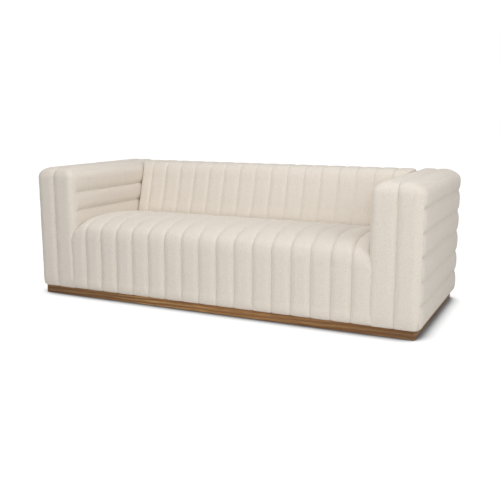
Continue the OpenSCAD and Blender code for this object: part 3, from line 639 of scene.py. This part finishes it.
# %% [markdown]
# ## The wadding presses on the cloth
#
# The panels' channels are drawn a little low and even. A short cloth simulation then lets the wadding swell
# them: the cloth is cut a little longer than the drawn surface, pressure pushes it outwards, and the stitches
# hold. That gives each channel its own fullness, and small puckers where the cloth gathers along the
# stitches. No point may move further than the cap, so that the sofa keeps its outline. Gravity is left out,
# because the wadding carries the cloth.

# %% Cloth simulation
SWELL_CAP = 0.0016
SWELL_FRAMES = 12


def swollen(cover):
    """Runs the simulation and keeps its result in the cover's mesh. Returns the largest move."""
    cloth = cover.modifiers.new("filling", "CLOTH")
    settings = cloth.settings
    settings.quality = 5
    settings.mass = 0.3
    settings.tension_stiffness = settings.compression_stiffness = 12
    settings.shear_stiffness = 6
    settings.bending_stiffness = 0.4
    settings.tension_damping = settings.compression_damping = 8
    settings.vertex_group_mass = "stitches"
    settings.shrink_min = -0.003
    settings.use_pressure = True
    settings.uniform_pressure_force = 1.5
    settings.effector_weights.gravity = 0
    cloth.collision_settings.use_collision = False
    cloth.point_cache.frame_end = SWELL_FRAMES
    scene = bpy.context.scene
    for frame_number in range(1, SWELL_FRAMES + 1):
        scene.frame_set(frame_number)
    pressed = cover.evaluated_get(bpy.context.evaluated_depsgraph_get()).data
    before = np.empty(len(cover.data.vertices) * 3)
    after = np.empty_like(before)
    cover.data.vertices.foreach_get("co", before)
    pressed.vertices.foreach_get("co", after)
    move = (after - before).reshape(-1, 3)
    size = np.linalg.norm(move, axis=1, keepdims=True)
    move *= SWELL_CAP * np.tanh(size / SWELL_CAP) / np.maximum(size, TINY)
    cover.modifiers.remove(cloth)
    cover.data.vertices.foreach_set("co", (before.reshape(-1, 3) + move).ravel())
    cover.data.update()
    scene.frame_set(1)
    return float(np.linalg.norm(move, axis=1).max())


for cover in (seat_cover, back_cover, left_arm_cover, right_arm_cover):
    print(cover.name, "moved up to", round(swollen(cover) * 1000, 2), "mm")

# %% [markdown]
# ## Thickness of the covers
#
# A real panel is cloth over wadding, several millimetres thick. Solidify gives each sheet that body on its
# inner side, so every cover is a closed shell.

# %% Finish the covers
COVER_THICKNESS = 0.005
covers = {
    "seat_cover": seat_cover, "back_cover": back_cover,
    "left_arm_cover": left_arm_cover, "right_arm_cover": right_arm_cover,
}
for node, cover in covers.items():
    body = cover.modifiers.new("wadding", "SOLIDIFY")
    body.thickness = COVER_THICKNESS
    body.offset = -1
    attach(cover, "root")
    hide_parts(node)
print("covers", list(covers))


# %% [markdown]
# ## Shader maths as expressions
#
# A node graph is easier to read as arithmetic. This small class wraps one output socket: +, -, * and / add
# Math nodes, and the other helpers make one node each.


# %% Shader helpers
class Value:
    """One output socket, with arithmetic."""

    def __init__(self, maker, socket):
        self.maker, self.socket = maker, socket

    def _math(self, operation, *inputs):
        return self.maker.node("ShaderNodeMath", {"operation": operation}, dict(enumerate(inputs)))

    def __add__(self, other):
        return self._math("ADD", self, other)

    def __radd__(self, other):
        return self._math("ADD", other, self)

    def __sub__(self, other):
        return self._math("SUBTRACT", self, other)

    def __rsub__(self, other):
        return self._math("SUBTRACT", other, self)

    def __mul__(self, other):
        return self._math("MULTIPLY", self, other)

    def __rmul__(self, other):
        return self._math("MULTIPLY", other, self)

    def __truediv__(self, other):
        return self._math("DIVIDE", self, other)

    def __rtruediv__(self, other):
        return self._math("DIVIDE", other, self)


class Maker:
    """Adds nodes to one material."""

    def __init__(self, name):
        self.material = bpy.data.materials.new(name)
        self.material.use_nodes = True
        self.tree = self.material.node_tree
        self.shader = self.tree.nodes["Principled BSDF"]

    def node(self, kind, settings=None, inputs=None, output=0):
        """One node: its settings first, then the values or links of its sockets."""
        made = self.tree.nodes.new(kind)
        for key, value in (settings or {}).items():
            if key == "stops":
                ramp = made.color_ramp.elements
                while len(ramp) < len(value):
                    ramp.new(0.5)
                for element, (place, colour) in zip(ramp, value):
                    element.position, element.color = place, (*colour, 1)
            else:
                setattr(made, key, value)
        for key, value in (inputs or {}).items():
            self.feed(made.inputs[key], value)
        return Value(self, made.outputs[output])

    def feed(self, socket, value):
        """Links a value to a socket, or sets it there."""
        if isinstance(value, Value):
            self.tree.links.new(value.socket, socket)
        elif isinstance(value, tuple) and len(value) == 3 and socket.type == "RGBA":
            socket.default_value = (*value, 1)
        else:
            socket.default_value = value

    def stretched(self, where, scale, turn=(0, 0, 0)):
        """Coordinates, scaled and turned."""
        return self.node("ShaderNodeMapping", inputs={"Vector": where, "Scale": scale, "Rotation": turn})

    def place(self, scale=(1, 1, 1), turn=(0, 0, 0)):
        """Object coordinates, scaled and turned."""
        return self.stretched(self.node("ShaderNodeTexCoord", output="Object"), scale, turn)

    def noise(self, where, scale, detail=2.0, roughness=0.5):
        """Cloudy values from 0 to 1."""
        return self.node("ShaderNodeTexNoise", inputs={
            "Vector": where, "Scale": scale, "Detail": detail, "Roughness": roughness,
        }, output="Fac")

    def cells(self, where, scale):
        """Distance to the middle of the nearest cell."""
        return self.node("ShaderNodeTexVoronoi", inputs={"Vector": where, "Scale": scale}, output="Distance")

    def bands(self, where, scale, direction, **inputs):
        """Soft stripes across one axis."""
        return self.node("ShaderNodeTexWave", {"bands_direction": direction}, {
            "Vector": where, "Scale": scale, **inputs,
        }, output="Fac")

    def blend(self, share, first, second):
        """A colour between two, by a share from 0 to 1."""
        return self.node("ShaderNodeMix", {"data_type": "RGBA"}, {0: share, 6: first, 7: second}, output=2)

    def ramp(self, share, *stops):
        """A colour by a share from 0 to 1, from stops of a place and a colour."""
        return self.node("ShaderNodeValToRGB", {"stops": stops}, {"Fac": share})

    def finish(self, colour, roughness, height=None, depth=0.001, strength=1.0, **constants):
        """Feeds the shader and returns the material."""
        self.feed(self.shader.inputs["Base Color"], colour)
        self.feed(self.shader.inputs["Roughness"], roughness)
        if height is not None:
            relief = {"Height": height, "Distance": depth, "Strength": strength}
            self.feed(self.shader.inputs["Normal"], self.node("ShaderNodeBump", inputs=relief))
        for key, value in constants.items():
            self.feed(self.shader.inputs[key.replace("_", " ")], value)
        return self.material


# %% [markdown]
# ## Looped-yarn cloth
#
# The cloth is woven with an uneven looped yarn. From across a room it is a soft ivory, and up close it is a
# bed of small nubs four or five millimetres across. Round cells give the nubs, noise bends them out of step,
# and a finer noise roughens the yarn. The hollows between the nubs are painted a little darker and warmer,
# as painted shade.


# %% Cloth
NUB_SCALE, YARN_SCALE, PATCH_SCALE = 230.0, 1100.0, 7.0  # about how many there are to the metre
NUB_BEND, BEND_SCALE = 0.006, 90.0


def looped_cloth():
    m = Maker("ivory_looped_cloth")
    where = m.place()
    bend = m.node(
        "ShaderNodeTexNoise", inputs={"Vector": where, "Scale": BEND_SCALE, "Detail": 1.0}, output="Color"
    )
    bent = m.node("ShaderNodeVectorMath", {"operation": "MULTIPLY_ADD"}, {0: bend, 1: (NUB_BEND,) * 3, 2: where})
    nubs = 1 - m.cells(bent, NUB_SCALE)
    yarn = m.noise(where, YARN_SCALE, 2.0)
    patches = m.noise(where, PATCH_SCALE, 3.0)
    height = nubs * 0.75 + yarn * 0.25
    # painted shade: the colour is darker and warmer in the hollows between the nubs
    tone = m.ramp(nubs, (0.15, (0.67, 0.610, 0.535)), (0.75, (0.775, 0.712, 0.636)))
    colour = m.blend(patches * 0.25, tone, (0.79, 0.730, 0.655))
    return m.finish(
        colour, 0.92, height, depth=0.0012, strength=0.45,
        Sheen_Weight=0.12, Sheen_Roughness=0.5, Specular_IOR_Level=0.2,
    )


cloth = looped_cloth()
for cover in covers.values():
    cover.data.materials.append(cloth)
print("cloth nodes", len(cloth.node_tree.nodes))

# %% [markdown]
# ## Plinth
#
# The plinth is a low frame of veneered timber, set back under the cloth. Each rail starts as a block in the
# box of its frame-model node. The front and rear rails turn the corners, so their outer upright edges get a
# wide bevel, and every other edge a fine one that catches the light.


# %% Plinth rails
CORNER_BEVEL, FINE_BEVEL = 0.012, 0.0012
SHARP_ANGLE = math.radians(60)  # only edges sharper than this get the fine bevel
OUTER_Y = 0.45  # beyond it lie the outer faces of the long rails


def bevelled(bm, edges, width, segments, clamp_overlap=True):
    """Rounds the given edges of a bmesh."""
    bmesh.ops.bevel(
        bm, geom=edges, offset=width, offset_type="OFFSET", affect="EDGES", segments=segments, profile=0.5,
        material=-1, clamp_overlap=clamp_overlap,
    )


def rail_piece(node, round_towards):
    """A rail of the plinth, with round outer corners towards one side: 1 is the rear, -1 the front, 0 none."""
    low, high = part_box(node)
    bm = bmesh.new()
    bmesh.ops.create_cube(bm, size=1)
    bmesh.ops.scale(bm, vec=high - low, verts=bm.verts)
    bmesh.ops.translate(bm, vec=(low + high) / 2, verts=bm.verts)
    if round_towards:
        upright = [edge for edge in bm.edges if abs(edge.verts[0].co.z - edge.verts[1].co.z) > CORNER_BEVEL]
        outer = [edge for edge in upright if edge.verts[0].co.y * round_towards > OUTER_Y]
        bevelled(bm, outer, CORNER_BEVEL, 8, clamp_overlap=False)
    sharp = [edge for edge in bm.edges if edge.calc_face_angle(0) > SHARP_ANGLE]
    bevelled(bm, sharp, FINE_BEVEL, 2)
    bmesh.ops.recalc_face_normals(bm, faces=bm.faces)
    piece = piece_from(bm, node + "_timber")
    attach(piece, "root")
    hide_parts(node)
    return piece


long_rails = [rail_piece("plinth_front_rail", -1), rail_piece("plinth_rear_rail", 1)]
side_rails = [rail_piece("plinth_left_rail", 0), rail_piece("plinth_right_rail", 0)]
print("plinth rails", [piece.name for piece in long_rails + side_rails])

# %% [markdown]
# ## Golden brown veneer
#
# The plinth's veneer is a golden brown with darker flame-shaped figure. Bands of a wave texture, bent by
# noise and stretched along the rail, give the figure. Fine long streaks stand for the pores, and a slow noise
# shifts the whole from reddish to golden. The colour is lightest near the middle and darker towards the ends,
# and the side rails are painted darker all over: painted shade, for the shadow they stand in.


# %% Veneer
LIGHTEST_X, RAIL_DARKENING_LENGTH = 0.05, 1.5  # where the rails' colour is lightest, and how far from there it grows darker
# painted shade: how much darker the side rails are painted all over, for the shadow they stand in
SIDE_PAINTED_SHADE = 0.55
FIGURE = {"Distortion": 7.0, "Detail": 3.0, "Detail Scale": 0.9, "Detail Roughness": 0.55}


def veneer(name, turned=False):
    m = Maker(name)
    where = m.place(turn=(0, 0, math.pi / 2 if turned else 0))
    figure = m.bands(m.stretched(where, (1.1, 6.0, 9.0), (0, 0.12, 0)), 1.6, "Z", **FIGURE)
    pores = m.noise(m.stretched(where, (5.0, 90.0, 160.0), (0, 0.05, 0)), 3.0, 4.0, 0.65)
    drift = m.noise(m.stretched(where, (2.4, 1.0, 9.0)), 1.3, 2.0)
    streaks = m.ramp(pores, (0.42, (0, 0, 0)), (0.62, (0.6, 0.6, 0.6)))
    reddish = m.ramp(drift, (0.38, (0, 0, 0)), (0.62, (0.6, 0.6, 0.6)))
    body = m.ramp(
        figure, (0.0, (0.210, 0.096, 0.032)), (0.45, (0.430, 0.225, 0.082)), (1.0, (0.60, 0.345, 0.135))
    )
    grain = m.blend(streaks, m.blend(reddish, body, (0.30, 0.142, 0.050)), (0.150, 0.066, 0.022))
    along = m.node("ShaderNodeSeparateXYZ", inputs={0: m.place()}, output=0)
    from_lightest = m.node("ShaderNodeMath", {"operation": "ABSOLUTE"}, {0: along - LIGHTEST_X})
    ends = m.ramp(from_lightest / RAIL_DARKENING_LENGTH, (0.10, (0, 0, 0)), (0.95, (0.70, 0.70, 0.70)))
    # the side rails get painted shade all over; the long rails grow darker towards their ends
    colour = m.blend(SIDE_PAINTED_SHADE if turned else ends, grain, (0.040, 0.018, 0.007))
    return m.finish(colour, 0.46 + pores * 0.16, pores, depth=0.0003, strength=0.35, Specular_IOR_Level=0.3)


along_x, along_y = veneer("golden_veneer_long"), veneer("golden_veneer_side", turned=True)
for pieces_made, timber in ((long_rails, along_x), (side_rails, along_y)):
    for piece in pieces_made:
        piece.data.materials.append(timber)
print("veneer nodes", len(along_x.node_tree.nodes))


# %% [markdown]
# ## Foam under the covers
#
# Under the cloth the frame is wrapped in sheet foam. It is never seen on the finished sofa, but an opened
# model should show foam and not a hard block, so each piece is a copy of its plain solid with softened edges.
# The padding's corners are cut off along the shoulders first, because the cloth is rounder there.


# %% Softened foam
WOOD_X, WOOD_IN_X, WOOD_Y, WOOD_TOP_Z = 1.124, 0.920, 0.456, 0.733  # faces of the arms' and back's boards
SPARE, BACK_SPARE = 0.0015, 0.0045  # padding left over a board's corner, on the arms and on the back
FOAM_BEVEL, FELT_BEVEL = 0.003, 0.0015
MERGE, FLAT_ANGLE, FOLD_ANGLE = 1e-5, math.radians(1), math.radians(40)


def shoulder_cuts(side):
    """Planes that take off the corner of an arm's padding along its four top edges."""
    corners = (
        (side * WOOD_X, 0, side, 0), (side * WOOD_IN_X, 0, -side, 0), (0, WOOD_Y, 0, 1), (0, -WOOD_Y, 0, -1),
    )
    return [
        (Vector((x, y, WOOD_TOP_Z)) + Vector((nx, ny, 1)).normalized() * SPARE, (nx, ny, 1))
        for x, y, nx, ny in corners
    ]


def softened(node, radius, cuts=()):
    """A copy of a node's solid, cut by planes and with its edges bevelled."""
    bm = bmesh.new()
    bm.from_mesh(frame["nodes"][node].data)
    bmesh.ops.remove_doubles(bm, verts=bm.verts, dist=MERGE)
    for place, normal in cuts:
        cut = bmesh.ops.bisect_plane(
            bm, geom=[*bm.verts, *bm.edges, *bm.faces], plane_co=place, plane_no=normal, clear_outer=True
        )
        rim = [item for item in cut["geom_cut"] if isinstance(item, bmesh.types.BMEdge)]
        bmesh.ops.holes_fill(bm, edges=rim)
    bmesh.ops.recalc_face_normals(bm, faces=bm.faces)
    bmesh.ops.dissolve_limit(
        bm, angle_limit=FLAT_ANGLE, verts=bm.verts, edges=bm.edges, use_dissolve_boundaries=False
    )
    sharp = [edge for edge in bm.edges if edge.is_manifold and edge.calc_face_angle(0) > FOLD_ANGLE]
    bevelled(bm, sharp, radius, 2)
    for face in bm.faces:
        face.smooth = False
    piece = piece_from(bm, node + "_soft")
    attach(piece, "root")
    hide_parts(node)
    return piece


foam_nodes = (
    "seat_foam", "seat_front_pad", "back_foam", "back_top_pad", "back_outer_pad", "left_arm_padding",
    "right_arm_padding",
)
rounded_off = {
    "left_arm_padding": shoulder_cuts(-1), "right_arm_padding": shoulder_cuts(1),
    "back_top_pad": [((0, WOOD_Y, WOOD_TOP_Z + BACK_SPARE), (0, 1, 1))],
}
foams = [softened(node, FOAM_BEVEL, rounded_off.get(node, ())) for node in foam_nodes]
deck_felt = softened("deck_pad", FELT_BEVEL)
print("foam pieces", len(foams))


# %% [markdown]
# ## Dust cover
#
# Underneath, a thin black cloth is stapled over the frame's lower side. It lies flat where the plinth's rails
# and bearers press on it and hangs a few millimetres between them. A simulation could shape it, but it is
# seldom seen, so a formula on a flat grid gives its sag and its shallow gathers.

# %% Dust cover
SHEET_EDGE, SHEET_LIFT = 0.001, 0.0009  # inside the plain solid's sides, and above its lower face
SHEET_THICKNESS = 0.0005
DUST_SAG, GATHER_SHARE = 0.005, 0.10  # and how much of the sag the gathers change
HELD_X = np.array((-1.085, -0.442, 0.0, 0.442, 1.085))  # middles of the side rails and bearers
HELD_HALF, FREE_AT = 0.025, 0.19  # flat up to this distance from them, and at its lowest from there on
RAIL_Y = 0.430  # beyond it the sheet lies flat at the front and rear


def sheet_piece(name, parts, thickness):
    """One object from grids of points, with a thin body."""
    piece = panel_mesh(name, [(places, np.zeros(places.shape[:2])) for places in parts])
    piece.vertex_groups.clear()
    body = piece.modifiers.new("body", "SOLIDIFY")
    body.thickness = thickness
    body.offset = 0
    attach(piece, "root")
    return piece


dust_low, dust_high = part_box("dust_cover")
x = np.linspace(dust_low.x + SHEET_EDGE, dust_high.x - SHEET_EDGE, 181)
y = np.linspace(dust_low.y + SHEET_EDGE, dust_high.y - SHEET_EDGE, 73)
nearest = np.min(np.abs(x[:, None] - HELD_X[None, :]), axis=1)
sag = smooth_step(nearest, HELD_HALF, FREE_AT)[:, None] * smooth_step(RAIL_Y - np.abs(y), 0, FREE_AT)[None, :]
gathers = np.sin(x[:, None] * 61 + 1.3 * np.sin(y[None, :] * 9)) * np.sin(y[None, :] * 23 + x[:, None] * 5)
z = dust_low.z + SHEET_LIFT - DUST_SAG * sag * (1 + GATHER_SHARE * gathers)
grid = np.stack([np.broadcast_to(x[:, None], z.shape), np.broadcast_to(y[None, :], z.shape), z], axis=2)
dust_sheet = sheet_piece("dust_sheet", [grid[:, ::-1]], SHEET_THICKNESS)
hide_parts("dust_cover")
print("dust cover", [round(float(v), 3) for v in (x[-1] - x[0], y[-1] - y[0])], "sags", DUST_SAG)

# %% [markdown]
# ## Webbing of the back
#
# Behind the foam, twelve straps of webbing run up the back from the lower rail to the upper one. Each is a
# strip that follows the frame's side view, bellies a little under the foam's push and curls slightly at its
# edges. They are one piece, because the frame model holds them as one.

# %% Webbing
STRAPS, STRAP_WIDTH, STRAP_THICKNESS = 12, 0.050, 0.0014
BELLY, CURL = 0.0012, 0.0002
strap_line = np.array([(0.25365, 0.3165), (0.25365, 0.450), (0.32755, 0.7072)])  # depths and heights
strap_low, strap_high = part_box("back_straps_set")
strap_knots = np.concatenate([[0], np.cumsum(np.linalg.norm(np.diff(strap_line, axis=0), axis=1))])
strap_length = float(strap_knots[-1])
steps = np.linspace(0, 1, 61)
strap_y, strap_z = (np.interp(steps * strap_length, strap_knots, strap_line[:, axis]) for axis in range(2))
strap_y = strap_y + BELLY * np.sin(math.pi * steps) ** 2
across = np.linspace(0, STRAP_WIDTH, 13)
curl = CURL * np.cos(across / STRAP_WIDTH * 2 * math.pi)
strips = []
for start in np.linspace(strap_low.x, strap_high.x - STRAP_WIDTH, STRAPS):
    strip = np.empty((len(across), len(steps), 3))
    strip[..., 0] = start + across[:, None]
    strip[..., 1] = strap_y[None, :] + curl[:, None]
    strip[..., 2] = strap_z[None, :]
    strips.append(strip)
webbing = sheet_piece("back_webbing", strips, STRAP_THICKNESS)
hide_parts("back_straps_set")
print("straps", STRAPS, "of", round(strap_length, 3))


# %% [markdown]
# ## Hidden finishes
#
# Each hidden piece keeps its solid or the shape made above, and takes a finish from what it is made of:
# softwood with a straight grain, plywood with its layers, fibreboard, foam, felt, spring wire, zinc plate,
# woven webbing and the black dust cloth. The frame model's record names the material of each node.


# %% Materials of the hidden pieces
def straight_grain(name, light, dark):
    m = Maker(name)
    pores = m.noise(m.place(scale=(4, 40, 60)), 4.0, 3.0, 0.6)
    return m.finish(m.blend(pores, light, dark), 0.6, pores, depth=0.0003, strength=0.3)


def layered(name, light, dark):
    m = Maker(name)
    layers = m.bands(m.place(scale=(0.4, 0.4, 1)), 110.0, "Z", Distortion=1.2, Detail=1.0)
    fibres = m.noise(m.place(scale=(8, 30, 30)), 9.0, 3.0)
    colour = m.blend(layers * 0.5 + fibres * 0.4, light, dark)
    return m.finish(colour, 0.65, fibres, depth=0.0002, strength=0.3)


def flecked(name, light, dark, scale):
    m = Maker(name)
    flecks = m.noise(m.place(), scale, 3.0, 0.7)
    return m.finish(m.blend(flecks, light, dark), 0.9, flecks, depth=0.0008, strength=0.5)


def porous(name, light, dark):
    m = Maker(name)
    bubbles = m.cells(m.place(), 420.0)
    # painted shade: each pore is painted darker towards its sunken middle
    return m.finish(m.blend(bubbles, dark, light), 0.95, bubbles, depth=0.0008, strength=0.5)


def metal(name, light, dark, roughness):
    m = Maker(name)
    marks = m.noise(m.place(), 160.0, 4.0, 0.6)
    return m.finish(m.blend(marks, light, dark), roughness + marks * 0.2, marks, depth=0.0001, Metallic=1.0)


def woven(name, light, dark, scale):
    m = Maker(name)
    warp, weft = m.bands(m.place(), scale, "X"), m.bands(m.place(), scale, "Y")
    height = warp * 0.5 + weft * 0.5
    # painted shade: the weave is painted darker where its threads lie low
    return m.finish(m.blend(height, dark, light), 0.9, height, depth=0.0004, strength=0.6)


finishes = {
    "frame_timber": straight_grain("frame_softwood", (0.62, 0.44, 0.25), (0.44, 0.27, 0.13)),
    "plywood": layered("frame_plywood", (0.60, 0.42, 0.25), (0.36, 0.21, 0.10)),
    "fibreboard": flecked("backing_fibreboard", (0.36, 0.24, 0.14), (0.22, 0.13, 0.07), 260.0),
    "foam": porous("sheet_foam", (0.84, 0.78, 0.55), (0.62, 0.55, 0.34)),
    "felt_pad": flecked("deck_felt", (0.30, 0.29, 0.28), (0.14, 0.14, 0.14), 420.0),
    "felt_glide": flecked("glide_felt", (0.20, 0.18, 0.16), (0.09, 0.08, 0.07), 600.0),
    "dust_cloth": woven("dust_cloth", (0.045, 0.045, 0.047), (0.012, 0.012, 0.013), 420.0),
    "webbing": woven("elastic_webbing", (0.07, 0.07, 0.075), (0.02, 0.02, 0.022), 260.0),
    "spring_steel": metal("oiled_spring_wire", (0.33, 0.33, 0.34), (0.20, 0.19, 0.18), 0.32),
    "zinc_steel": metal("zinc_plate", (0.62, 0.63, 0.64), (0.45, 0.45, 0.44), 0.28),
}
slots = {row["node"]: row["material_slot"] for row in frame["record"]["subparts"]}
for node, shown in frame["nodes"].items():
    finish = finishes.get(slots[node])
    if finish:
        shown.data.materials.clear()
        shown.data.materials.append(finish)
for piece in foams:
    piece.data.materials.append(finishes["foam"])
deck_felt.data.materials.append(finishes["felt_pad"])
dust_sheet.data.materials.append(finishes["dust_cloth"])
webbing.data.materials.append(finishes["webbing"])
print("finished nodes", sum(slots[node] in finishes for node in frame["nodes"]))

# %% [markdown]
# ## Floor
#
# The photograph shows the sofa on plain white with a soft shadow close under it. What the camera sees of the
# floor is mostly a white of its own, darkened where little of the room is open above it, so the floor clears
# to white and keeps the soft contact shadow. The rest of what it sees is lit by the lamps, as is all the
# light that the floor sends back to the sofa.


# %% Floor
FLOOR_HALF, FLOOR_GREY = 30, 0.80
WHITE_SHARE, WHITE_STRENGTH = 0.8, 1.27  # of the floor's own white, in what the camera sees
CONTACT_REACH = 0.13  # how far from the sofa the floor is shaded
CONTACT_SHADE = (  # that white, by how open it is
    (0.40, 0.05), (0.50, 0.36), (0.60, 0.66), (0.75, 0.90), (1.0, 1.0),
)


def floor_piece():
    bm = bmesh.new()
    bmesh.ops.create_grid(bm, x_segments=1, y_segments=1, size=FLOOR_HALF)
    floor = piece_from(bm, "studio_floor")
    m = Maker("studio_floor")
    seen = m.node("ShaderNodeLightPath", output="Is Camera Ray")
    glossy = m.node("ShaderNodeLightPath", output="Is Glossy Ray")
    m.finish((FLOOR_GREY,) * 3, 0.9)
    openness = m.node("ShaderNodeAmbientOcclusion", inputs={"Distance": CONTACT_REACH}, output="AO")
    shade = m.ramp(openness, *((place, (tone,) * 3) for place, tone in CONTACT_SHADE))
    white = m.node("ShaderNodeEmission", inputs={"Color": shade, "Strength": WHITE_STRENGTH})
    lit = Value(m, m.shader.outputs["BSDF"])
    both = m.node("ShaderNodeMixShader", inputs={0: (seen + glossy) * WHITE_SHARE, 1: lit, 2: white})
    m.feed(m.tree.nodes["Material Output"].inputs["Surface"], both)
    floor.data.materials.append(m.material)
    return floor


floor = floor_piece()
print("floor", floor.name, FLOOR_HALF * 2, "wide")

# %% [markdown]
# ## Light and background
#
# A weak sky gives even light from all round, and three large lamps stand in front, at the right and overhead.
# Their strengths were worked out from tones read off the photograph. The sky looks white to the camera, but
# lights the sofa with less than a third of that.


# %% Light
LAMPS_AIM = (0, -0.2, 0.4)
SKY_LIGHT, SKY_SEEN = 0.30, 1.0


def lamp(name, place, width, height, power):
    data = bpy.data.lights.new(name, "AREA")
    data.shape, data.size, data.size_y = "RECTANGLE", width, height
    data.energy = power
    made = bpy.data.objects.new(name, data)
    made.location = place
    made.rotation_mode = "QUATERNION"
    made.rotation_quaternion = (Vector(LAMPS_AIM) - Vector(place)).to_track_quat("-Z", "Y")
    bpy.context.scene.collection.objects.link(made)
    return made


lamps = [
    lamp("front_lamp", (1.0, -4.5, 2.2), 3.0, 3.0, 76),
    lamp("side_lamp", (4.2, -1.5, 2.4), 2.5, 2.5, 55),
    lamp("overhead_lamp", (0.0, -0.6, 3.4), 3.0, 2.0, 44),
]
world = bpy.data.worlds.new("studio_world")
bpy.context.scene.world = world
world.use_nodes = True
sky = world.node_tree
background = sky.nodes["Background"]
rays = sky.nodes.new("ShaderNodeLightPath")
shown_ray = sky.nodes.new("ShaderNodeMath")
shown_ray.operation = "MAXIMUM"
sky.links.new(rays.outputs["Is Camera Ray"], shown_ray.inputs[0])
sky.links.new(rays.outputs["Is Glossy Ray"], shown_ray.inputs[1])
level = sky.nodes.new("ShaderNodeMapRange")
level.inputs["To Min"].default_value = SKY_LIGHT
level.inputs["To Max"].default_value = SKY_SEEN
sky.links.new(shown_ray.outputs[0], level.inputs["Value"])
sky.links.new(level.outputs["Result"], background.inputs["Strength"])
background.inputs["Color"].default_value = (1, 1, 1, 1)
bpy.context.scene.view_settings.view_transform = "Standard"
print("lamps", {made.name: made.data.energy for made in lamps})
